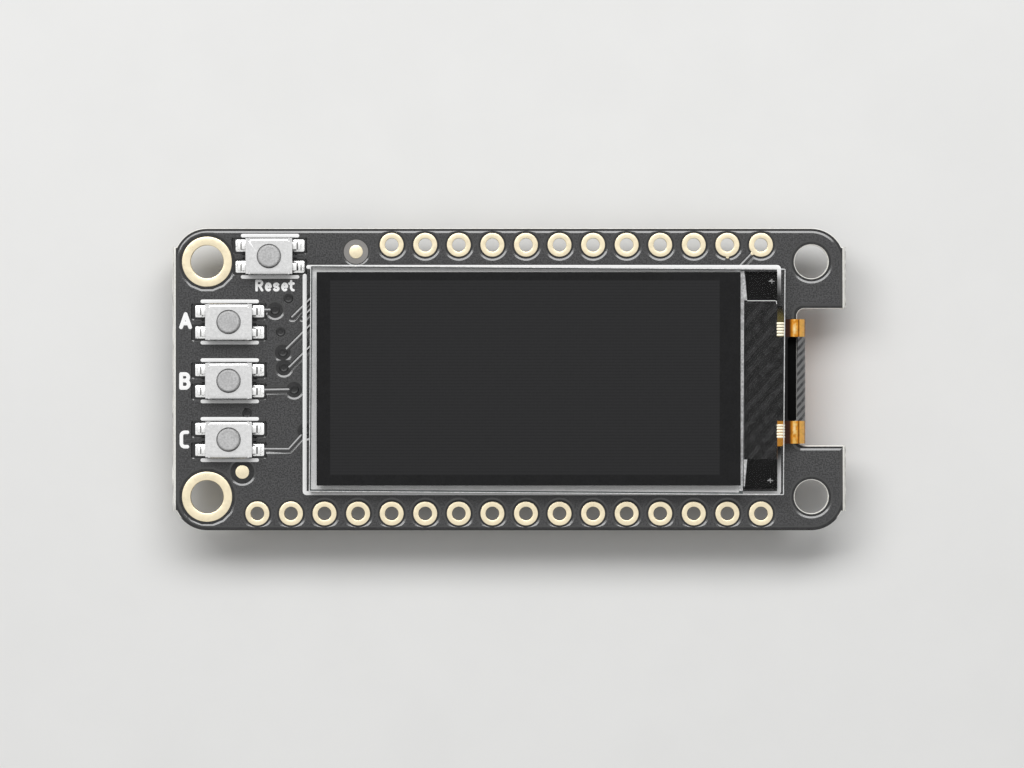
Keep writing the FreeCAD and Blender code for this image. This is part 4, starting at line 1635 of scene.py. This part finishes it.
@dataclass
class WhitePrint:
    """The printed frame round the display, the bars beside the switches and their labels."""

    level: float = BOARD_TOP + POUR_RISE
    rise: float = 0.012
    frame_width: float = 0.3
    frame_low: Point = (-15.47, -8.62)
    frame_high: Point = (20.42, 8.49)
    frame_gap: Point = (-15.2, 7.82)      # where its two ends stop short of the corner
    frame_bend: float = 0.15
    bar_length: float = 4.42
    bar_width: float = 0.28
    bar_offset: float = 1.56
    switches: Sequence[Point] = ()

    def draw(self, name: str, lines: Sequence[Sequence[Point]], width: float) -> None:
        """Draw a label's lines and deliver them as one piece.

        Args:
            name: The label's name.
            lines: Each line's points in plan.
            width: The lines' width.
        """
        strokes = [Bench.stroke(name, line, width, self.rise + 0.0004 * index, self.level)
                   for index, line in enumerate(lines)]
        Bench.deliver(Bench.join(strokes, name), FINISH.print_white, smooth=FLOWED)

    def build(self) -> None:
        """Print everything."""
        self.build_frame()
        reach = (self.bar_length - self.bar_width) / 2
        bar = Bench.stroke("print_bars", [(-reach, 0), (0, 0), (reach, 0)], self.bar_width,
                           self.rise, self.level)
        places = [(x + SWITCH_SHIFT, y + side * self.bar_offset)
                  for x, y in self.switches for side in (1, -1)]
        Bench.deliver(Bench.repeat(bar, "print_bars", places), FINISH.print_white, smooth=FLOWED)
        self.draw("print_label_a", [
            [(-24.82, 3.93), (-24.48, 4.92)], [(-24.14, 3.93), (-24.48, 4.92)],
            [(-24.69, 4.22), (-24.27, 4.22)]], 0.29)
        self.draw("print_label_b", [
            [(-24.82, -0.66), (-24.82, 0.38)],
            [(-24.82, 0.38), (-24.55, 0.38)] + arc((-24.5, 0.14), (0.22, 0.24), 80, -80)
            + [(-24.82, -0.1)],
            [(-24.6, -0.1)] + arc((-24.5, -0.38), (0.25, 0.28), 80, -80)
            + [(-24.82, -0.66)]], 0.29)
        self.draw("print_label_c", [
            [(-24.34, -4.02)] + arc((-24.55, -4.27), (0.25, 0.25), 90, 180, 6)
            + arc((-24.55, -4.86), (0.25, 0.25), 180, 270, 6) + [(-24.34, -5.11)]], 0.27)
        self.draw_reset()

    def build_frame(self) -> None:
        """Print the frame, which is open at its upper left corner."""
        (x0, y0), (x1, y1) = self.frame_low, self.frame_high
        (left_end, upper_end), bend, step = self.frame_gap, self.frame_bend, 2.0
        line = [(x0, upper_end), (x0, y0 + step)]
        line += arc((x0 + bend, y0 + bend), (bend, bend), 180, 270, 5)
        line += [(x0 + step, y0), (x1 - step, y0)]
        line += arc((x1 - bend, y0 + bend), (bend, bend), 270, 360, 5)
        line += [(x1, y0 + step), (x1, y1 - step)]
        line += arc((x1 - bend, y1 - bend), (bend, bend), 0, 90, 5)
        line += [(x1 - step, y1), (left_end, y1)]
        self.draw("print_frame", [line], self.frame_width)

    def draw_reset(self) -> None:
        """Print the word beside the single switch."""
        base, cap, low = 6.73, 0.72, 0.5
        lines: list[list[Point]] = []
        x = -19.11
        lines.append([(x, base), (x, base + cap)])
        lines.append([(x, base + cap), (x + 0.2, base + cap)]
                     + arc((x + 0.22, base + 0.75 * cap), (0.19, 0.25 * cap), 80, -80)
                     + [(x, base + 0.5 * cap)])
        lines.append([(x + 0.2, base + 0.5 * cap), (x + 0.42, base)])
        for x in (-18.40, -17.16):
            lines.append([(x + 0.02, base + 0.52 * low), (x + 0.34, base + 0.52 * low)])
            lines.append(arc((x + 0.18, base + low / 2), (0.17, low / 2), 5, 305, 16))
        x = -17.79
        lines.append(arc((x + 0.17, base + 0.75 * low), (0.15, 0.24 * low), 25, 265, 12))
        lines.append(arc((x + 0.17, base + 0.25 * low), (0.16, 0.26 * low), 95, -155, 12))
        x = -16.62
        lines.append([(x + 0.12, base + cap * 0.95), (x + 0.12, base + 0.16),
                      (x + 0.2, base + 0.02), (x + 0.3, base)])
        lines.append([(x, base + low), (x + 0.3, base + low)])
        self.draw("print_label_reset", lines, 0.195)


# Display

@dataclass
class GlassDisplay:
    """The display's glass, seal, film, foam, tape and driver."""

    glass_low: Point = (-15.08, -8.63)
    glass_high: Point = (20.82, 8.47)
    back_end: float = 17.72
    levels: tuple[float, float, float] = (1.9, 2.5, 3.05)
    film_low: Point = (-14.545, -8.035)
    film_high: Point = (17.485, 8.095)
    edge_break: float = 0.06
    seal_width: float = 0.33
    seal_trims: tuple[float, float, float, float] = (0.06, 0.1, 0.05, 0.08)   # at its four sides
    seal_foot: float = 0.04       # the seal's and the bead's heights beside the back glass's top
    seal_rise: float = 0.004
    bead_depths: Point = (0.2, 0.066)
    bead_end: Point = (18.02, 17.75)     # beside the tape, beside the cable
    bead_breaks: tuple[float, ...] = (-8.1, -6.06, 5.96, 8.0)
    marks: Sequence[Point] = ((19.84, 7.4), (19.73, -7.67))

    def turn(self, piece: Object) -> Object:
        """Turn a piece by the angle at which the glass is stuck on.

        Args:
            piece: The piece.

        Returns:
            The piece.
        """
        Bench.take_all(piece)
        bpy.ops.transform.rotate(value=-math.radians(GLASS_TURN), orient_axis="Z",
                                 center_override=(*GLASS_CENTRE, 0))
        Bench.leave()
        return piece

    def front_glass(self) -> None:
        """Model the front glass with ground edges, a hair clear of what it lies on."""
        glass = Bench.block("front_glass", (*self.glass_low, self.levels[1] + 0.008),
                            (*self.glass_high, self.levels[2]))
        Bench.bevel(glass, lambda edge: True, self.edge_break, 2)
        self.turn(glass)
        glass.data.materials.append(FINISH.glass.material())
        glass.data.materials.append(FINISH.glass_edge_glint.material())
        # the sides take the ground edge's colour with its painted highlight
        for face in glass.data.polygons:
            face.material_index = 0 if abs(face.normal.z) > 0.99 else 1
        Bench.deliver(glass, FINISH.glass, slot="display_glass",
                      stands_for=["display_front_glass"])

    def seal(self) -> None:
        """Model the pale seal band that shows round the film, under the front glass."""
        left, lower, right, upper = self.seal_trims
        band = Bench.block("seal_band",
                           (self.film_low[0] - self.seal_width - left,
                            self.film_low[1] - self.seal_width - lower,
                            self.levels[1] - self.seal_foot),
                           (self.film_high[0] - right,
                            self.film_high[1] + self.seal_width - upper,
                            self.levels[1] + self.seal_rise))
        self.turn(band)
        Bench.pick(band, Pick.FACE, is_level)
        bpy.ops.mesh.inset(thickness=self.seal_width + 0.4)
        bpy.ops.mesh.bridge_edge_loops()
        Bench.leave()
        Bench.modify(band, "BEVEL", width=0.015, segments=2, limit_method="ANGLE",
                     angle_limit=math.radians(40))
        Bench.deliver(band, FINISH.seal, slot="display_glass")

    def bead(self) -> None:
        """Model the sealing bead that runs down the back glass's end, beside tape and cable."""
        low, high = (self.levels[1] - depth for depth in self.bead_depths)
        start = self.film_high[0] - 0.1
        outer, inner = self.bead_end
        beads = []
        for y_low, y_high, end in zip(self.bead_breaks, self.bead_breaks[1:],
                                      (outer, inner, outer)):
            bead = Bench.block("sealing_bead", (self.back_end, y_low, low), (end, y_high, high))
            Bench.bevel(bead, lies_above(low + 0.01), 0.02, 2)
            beads.append(bead)
        strip = Bench.block("sealing_bead", (start, self.film_low[1] - 0.3, self.levels[1] - 0.03),
                            (self.back_end, self.film_high[1] + 0.2,
                             self.levels[1] + self.seal_rise))
        Bench.bevel(strip, lambda edge: all(v.co.x > start + 0.01 for v in edge.verts), 0.012, 2)
        beads.append(self.turn(strip))
        Bench.deliver(Bench.join(beads, "sealing_bead"), FINISH.bead, slot="display_glass")

    def tape_marks(self) -> None:
        """Draw the two small alignment marks on the ledge."""
        level = self.levels[1] - 0.002
        lines = []
        for x, y in self.marks:
            lines.append([(x - 0.2, y), (x + 0.2, y)])
            lines.append([(x + 0.02, y - 0.15), (x + 0.02, y + 0.15)])
            lines.append([(x - 0.17, y), (x - 0.03, y + 0.1)])
        strokes = [Bench.stroke("ledge_marks", line, 0.07, 0.006, level) for line in lines]
        Bench.deliver(Bench.join(strokes, "ledge_marks"), FINISH.mark, smooth=FLOWED)

    def build(self) -> None:
        """Build the stack from the board up."""
        Bench.dress_node("foam_tape", "foam_pad", 0.04, FINISH.foam, "foam")
        Bench.dress_node("display_back_glass", "back_glass", 0.04, FINISH.glass_back,
                         "display_glass")
        paint_node("desiccant_sheet", FINISH.desiccant)
        self.seal()
        self.bead()
        Bench.dress_node("polariser_film", "polarising_film", 0.05, FINISH.polariser, "polariser")
        self.front_glass()
        Bench.dress_node("ledge_tape", "ledge_cover_tape", 0.012, FINISH.tape, "black_tape")
        self.tape_marks()
        Bench.dress_node("driver_chip", "display_driver", 0.02, FINISH.silicon, "silicon")


@dataclass
class FlexibleCable:
    """The display's folded cable, its bright leads and its soldered fingers."""

    lead_x: Point = (20.3, 20.76)
    lead_starts: Point = (3.35, -3.5)
    lead_pitch: float = 0.215
    lead_width: float = 0.16
    lead_count: int = 5
    # painted highlight: the points of a pale line that stands for light caught on the film's cut
    # edge
    film_glint: Sequence[Point] = ((18.0, 5.93), (20.1, 5.93), (20.2, 5.9), (20.22, 5.7))
    film_level: float = 2.5
    shade_sheet_low: Point = (20.4, -4.6)       # painted shade: a black sheet on the board under the fold, where the board lies in shade
    shade_sheet_high: Point = (21.68, 4.35)
    shade_sheet_rise: float = 0.09

    def build(self) -> None:
        """Dress the cable and add its leads, its joints, a painted glint along its film's edge and
        a black sheet of painted shade under its fold.
        """
        Bench.dress_node("flex_cable", "folded_cable", 0.02, FINISH.flex, "flex_film",
                         angle=50, smooth=40)
        lead = Bench.stroke("cable_leads", [(self.lead_x[0], 0), (self.lead_x[1], 0)],
                            self.lead_width, 0.006, self.film_level)
        places = [(0.0, start + side * self.lead_pitch * step)
                  for start, side in zip(self.lead_starts, (1, -1))
                  for step in range(self.lead_count)]
        Bench.deliver(Bench.repeat(lead, "cable_leads", places), FINISH.lead, slot="flex_film")
        # painted shade: a black sheet under the fold
        pad = Bench.block("black_shade_sheet", (*self.shade_sheet_low, BOARD_TOP),
                          (*self.shade_sheet_high, BOARD_TOP + self.shade_sheet_rise))
        Bench.bevel(pad, lambda edge: True, 0.02, 2)
        Bench.deliver(pad, FINISH.foam, slot="black_tape")
        # painted highlight along the film's cut edge
        edge = Bench.stroke("cable_film_edge_glint", self.film_glint, 0.05, 0.004,
                            self.film_level + 0.002)
        Bench.deliver(edge, FINISH.seal, slot="flex_film", smooth=FLOWED)
        Bench.dress_node("flex_solder", "finger_solder", 0.03, FINISH.solder, "solder",
                         segments=3, smooth=50)


# Push switches

@dataclass
class PushSwitch:
    """One switch: moulded base, folded steel cover, plunger, dome, legs and their pads."""

    node: str
    centre: Point
    leg_y: float = 0.8
    pad_size: Point = (0.9, 0.9)
    pad_x: float = 2.16
    relief: tuple[float, float, float, float] = (1.42, 1.56, 1.1, 1.37)
    cover_top: float = BOARD_TOP + 1.4
    dome_foot: float = BOARD_TOP + 0.45
    dome_keep: float = 0.33       # share of its height that a pressed dome keeps
    relief_depth: float = 0.035
    relief_floor: float = 0.14    # depth of that metal's underside
    face_insets: Point = (0.1, 0.05)
    face_dip: float = 0.015

    @property
    def body(self) -> str:
        """Return the plunger's body."""
        return self.node.replace("switch_", "button_")

    def pads(self) -> list[tuple[Point, Point]]:
        """List the legs' pads.

        Returns:
            The place and size of each.
        """
        x, y = self.centre
        return [((x + side * self.pad_x, y + end * self.leg_y), self.pad_size)
                for side in (1, -1) for end in (1, -1)]

    def build(self) -> None:
        """Dress the switch's parts."""
        Bench.dress_node(f"{self.node}_base", f"{self.node}_housing", 0.03, FINISH.moulding,
                         "switch_plastic")
        Bench.dress_node(f"{self.node}_cover", f"{self.node}_sheet_cover", 0.03, FINISH.steel,
                         "switch_steel")
        self.build_reliefs()
        Bench.dress_node(f"{self.node}_legs", f"{self.node}_bent_legs", 0.025, FINISH.tin, "tin")
        self.build_dome()
        self.build_plunger()

    def build_dome(self) -> None:
        """Dress the snap dome and give it a mesh of its own."""
        dome = Bench.dress_node(f"{self.node}_dome", f"{self.node}_snap_dome", 0.0,
                                FINISH.spring, "spring_steel")
        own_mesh(dome)

    def build_reliefs(self) -> None:
        """Model the metal that is left at the bottom of the cover's four corner reliefs."""
        x0, x1, y0, y1 = self.relief
        x, y = self.centre
        floors = []
        for side in (1, -1):
            for end in (1, -1):
                spans = sorted((side * x0, side * x1)), sorted((end * y0, end * y1))
                floors.append(Bench.block(
                    f"{self.node}_reliefs",
                    (x + spans[0][0], y + spans[1][0], self.cover_top - self.relief_floor),
                    (x + spans[0][1], y + spans[1][1], self.cover_top - self.relief_depth)))
        Bench.deliver(Bench.join(floors, f"{self.node}_reliefs"), FINISH.steel,
                      slot="switch_steel")

    def build_plunger(self) -> None:
        """Model the plunger with a rounded rim and a faintly sunk face."""
        plunger = Bench.node_copy(f"{self.node}_plunger", f"{self.node}_round_plunger", 0.025,
                                  2, 30)
        top = max(vertex.co.z for vertex in plunger.data.vertices)
        found = Bench.pick(plunger, Pick.FACE, lambda face: face.normal.z > 0.99
                           and face.calc_center_median().z > top - 0.01
                           and face.calc_area() > 0.5)
        if found:
            for thickness in self.face_insets:
                bpy.ops.mesh.inset(thickness=thickness)
            bpy.ops.transform.translate(value=(0, 0, -self.face_dip))
        Bench.leave()
        Bench.deliver(plunger, FINISH.plunger, self.body, "plunger_plastic",
                      [f"{self.node}_plunger"])


@dataclass
class SwitchColumn:
    """The four switches and their solder joints."""

    places: dict[str, Point] = field(default_factory=lambda: {
        "switch_reset": (-18.15, 9.3), "switch_a": (-21.2, 4.325),
        "switch_b": (-21.2, -0.12), "switch_c": (-21.2, -4.565)})
    land_rise: float = 0.055
    land_foot: float = 0.02       # how far a land reaches into the board
    joint_height: float = 0.5     # so low that the legs' feet show
    joint_voxel: float = 0.028

    def switches(self) -> list[PushSwitch]:
        """Return the switches."""
        return [PushSwitch(node, centre) for node, centre in self.places.items()]

    def pads(self) -> list[tuple[Point, Point]]:
        """Return every leg's pad."""
        return [pad for switch in self.switches() for pad in switch.pads()]

    def build(self) -> None:
        """Build the switches, then the pads and joints."""
        for switch in self.switches():
            switch.build()
        pads = self.pads()
        length, width = pads[0][1]
        land = Bench.block("switch_lands", (-length / 2, -width / 2, BOARD_TOP - self.land_foot),
                           (length / 2, width / 2, BOARD_TOP + self.land_rise))
        Bench.bevel(land, climbs(self.land_foot), 0.12, 4)
        Bench.bevel(land, lies_above(BOARD_TOP), 0.02, 2)
        lands = Bench.repeat(land, "switch_lands", [(x + SWITCH_SHIFT, y) for (x, y), _ in pads])
        Bench.deliver(lands, FINISH.solder, slot="solder", smooth=45)
        joints = Bench.node_copy("switch_solder", "switch_solder_joints", 0.0)
        self.melt(joints, self.joint_voxel)
        Bench.take_all(joints)
        bpy.ops.transform.resize(value=(1, 1, self.joint_height),
                                 center_override=(0, 0, BOARD_TOP))
        Bench.leave()
        Bench.deliver(joints, FINISH.solder, slot="solder", stands_for=["switch_solder"],
                      smooth=80)

    @staticmethod
    def melt(joints: Object, voxel: float) -> None:
        """Round solder as if it had flowed, with a slightly uneven skin."""
        Bench.modify(joints, "REMESH", mode="VOXEL", voxel_size=voxel)
        Bench.modify(joints, "SMOOTH", factor=0.6, iterations=4)


# Underside

@dataclass
class Underside:
    """The cable socket, the reset chip and the small ceramic parts."""

    capacitor_x: float = 14.98
    capacitor_y: float = -0.17            # the middle capacitor's place
    capacitor_pitch: float = 2.1
    resistor_x: float = -14.0
    resistor_pitch: float = 1.9
    part_reach: float = 0.85              # from a small part's middle to its lands
    part_land: Point = (0.7, 0.95)
    chip_y: float = 4.0
    chip_reach: float = 1.25
    chip_land: Point = (0.5, 0.75)
    contact_x: float = -20.45
    contact_land: Point = (1.0, 0.6)
    tab_place: Point = (-24.05, 3.35)
    tab_land: Point = (1.5, 0.9)
    land_levels: Point = (-0.05, 0.02)
    joint_voxel: float = 0.03

    def lands(self) -> list[tuple[Point, Point]]:
        """List the lands that the copper keeps clear of.

        Returns:
            The place and size of each.
        """
        places: list[tuple[Point, Point]] = []
        for step in range(-3, 4):
            for side in (1, -1):
                places.append(((self.capacitor_x + side * self.part_reach,
                                self.capacitor_y + self.capacitor_pitch * step), self.part_land))
        for step in range(6):
            for side in (1, -1):
                places.append(((self.resistor_x + side * self.part_reach,
                                self.resistor_pitch * (step - 2.5)), self.part_land))
        for x, side in ((-6.95, -1), (-6.0, -1), (-5.05, -1), (-6.95, 1), (-5.05, 1)):
            places.append(((x, self.chip_y + side * self.chip_reach), self.chip_land))
        for index in range(4):
            places.append(((self.contact_x, index - 1.5), self.contact_land))
        for side in (1, -1):
            places.append(((self.tab_place[0], side * self.tab_place[1]), self.tab_land))
        return places

    def build(self) -> None:
        """Dress every part below the board."""
        lands = []
        low, high = self.land_levels
        for index, ((x, y), (length, width)) in enumerate(self.lands()):
            land = Bench.block(f"land_{index}", (x - length / 2, y - width / 2, low),
                               (x + length / 2, y + width / 2, high))
            Bench.bevel(land, climbs(high), 0.08, 3)
            lands.append(land)
        Bench.deliver(Bench.join(lands, "part_lands"), FINISH.tin, slot="solder", smooth=45)
        plan = [
            ("socket_housing", "cable_socket", 0.06, FINISH.socket, "socket_plastic"),
            ("socket_contacts", "socket_pins", 0.02, FINISH.tin, "tin"),
            ("socket_tabs", "socket_hold_downs", 0.03, FINISH.tin, "tin"),
            ("reset_chip_body", "reset_chip", 0.07, FINISH.epoxy, "chip_epoxy"),
            ("reset_chip_leads", "reset_chip_legs", 0.015, FINISH.tin, "tin"),
            ("capacitor_bodies", "capacitors", 0.04, FINISH.capacitor, "capacitor_ceramic"),
            ("capacitor_ends", "capacitor_caps", 0.05, FINISH.tin, "tin"),
            ("resistor_bodies", "resistors", 0.02, FINISH.resistor, "resistor_ceramic"),
            ("resistor_ends", "resistor_caps", 0.03, FINISH.tin, "tin"),
        ]
        for node, name, width, finish, slot in plan:
            Bench.dress_node(node, name, width, finish, slot)
        joints = Bench.node_copy("underside_solder", "small_part_solder", 0.0)
        SwitchColumn.melt(joints, self.joint_voxel)
        Bench.deliver(joints, FINISH.solder, slot="solder", stands_for=["underside_solder"],
                      smooth=80)


# Studio

@dataclass
class Studio:
    """The floor, the light and the camera of the photograph."""

    floor_level: float = -2.95
    camera_height: float = 900.0
    view_centre: Point = (0.215, -0.365)
    view_width: float = 77.48
    key_power: float = 1.65
    key_size: Point = (0.56, 0.18)
    key_distance: float = 0.42
    key_elevation: float = 56.0
    fill: float = 0.38            # the world's strength as it lights the object
    backdrop: float = 0.93        # its strength as the camera and reflections see it
    sensor: float = 36.0

    def build(self) -> None:
        """Set up the floor, the lamps, the world and the camera."""
        Bench.hold()
        bpy.ops.mesh.primitive_plane_add(size=3.0, location=(0, 0, self.floor_level * METRES))
        floor = bpy.context.object
        floor.name = "pale_floor"
        Bench.take_all(floor)
        bpy.ops.mesh.subdivide(number_cuts=3)
        Bench.leave()
        bpy.ops.object.transform_apply(location=True, rotation=True, scale=True)
        floor.data.materials.append(FINISH.floor.material())
        self.light()
        self.set_camera()

    def light(self) -> None:
        """Place the soft key lamp above the board's far side and light the world evenly."""
        angle = math.radians(self.key_elevation)
        lamp = bpy.data.lights.new("key_lamp", "AREA")
        lamp.shape = "RECTANGLE"
        lamp.size, lamp.size_y = self.key_size
        lamp.energy = self.key_power
        key = bpy.data.objects.new("key_lamp", lamp)
        bpy.context.scene.collection.objects.link(key)
        key.location = (-0.04, self.key_distance * math.cos(angle),
                        self.key_distance * math.sin(angle))
        key.rotation_euler = (-Vector(key.location)).to_track_quat("-Z", "Y").to_euler()
        world = bpy.data.worlds.new("studio_world")
        bpy.context.scene.world = world
        world.use_nodes = True
        tree = world.node_tree
        ground = tree.nodes["Background"]
        path = tree.nodes.new("ShaderNodeLightPath")
        seen = path.outputs["Is Camera Ray"]
        for ray in ("Is Glossy Ray", "Is Transmission Ray"):
            both = tree.nodes.new("ShaderNodeMath")
            both.operation = "ADD"
            both.use_clamp = True
            tree.links.new(seen, both.inputs[0])
            tree.links.new(path.outputs[ray], both.inputs[1])
            seen = both.outputs[0]
        strength = tree.nodes.new("ShaderNodeMapRange")
        tree.links.new(seen, strength.inputs["Value"])
        strength.inputs["To Min"].default_value = self.fill
        strength.inputs["To Max"].default_value = self.backdrop
        tree.links.new(strength.outputs[0], ground.inputs["Strength"])
        ground.inputs["Color"].default_value = (1.0, 1.0, 1.0, 1.0)

    def set_camera(self) -> None:
        """Hang the camera straight above the board, framed as the photograph is."""
        lens = bpy.data.cameras.new("camera")
        lens.sensor_fit = "HORIZONTAL"
        lens.sensor_width = self.sensor
        lens.lens = self.sensor * self.camera_height / self.view_width
        lens.clip_start = 0.01
        camera = bpy.data.objects.new("camera", lens)
        bpy.context.scene.collection.objects.link(camera)
        camera.location = (self.view_centre[0] * METRES, self.view_centre[1] * METRES,
                           (self.camera_height + BOARD_TOP) * METRES)
        bpy.context.scene.camera = camera
        bpy.context.scene.view_settings.view_transform = "Standard"


def main() -> None:
    """Dress the display module, piece by piece."""
    logging.basicConfig(level=logging.INFO, format="%(name)s %(message)s")
    column = SwitchColumn()
    CircuitBoard(switch_pads=column.pads()).build()
    WhitePrint(switches=list(column.places.values())).build()
    GlassDisplay().build()
    FlexibleCable().build()
    column.build()
    Underside().build()
    Studio().build()


if __name__ == "__main__":
    main()
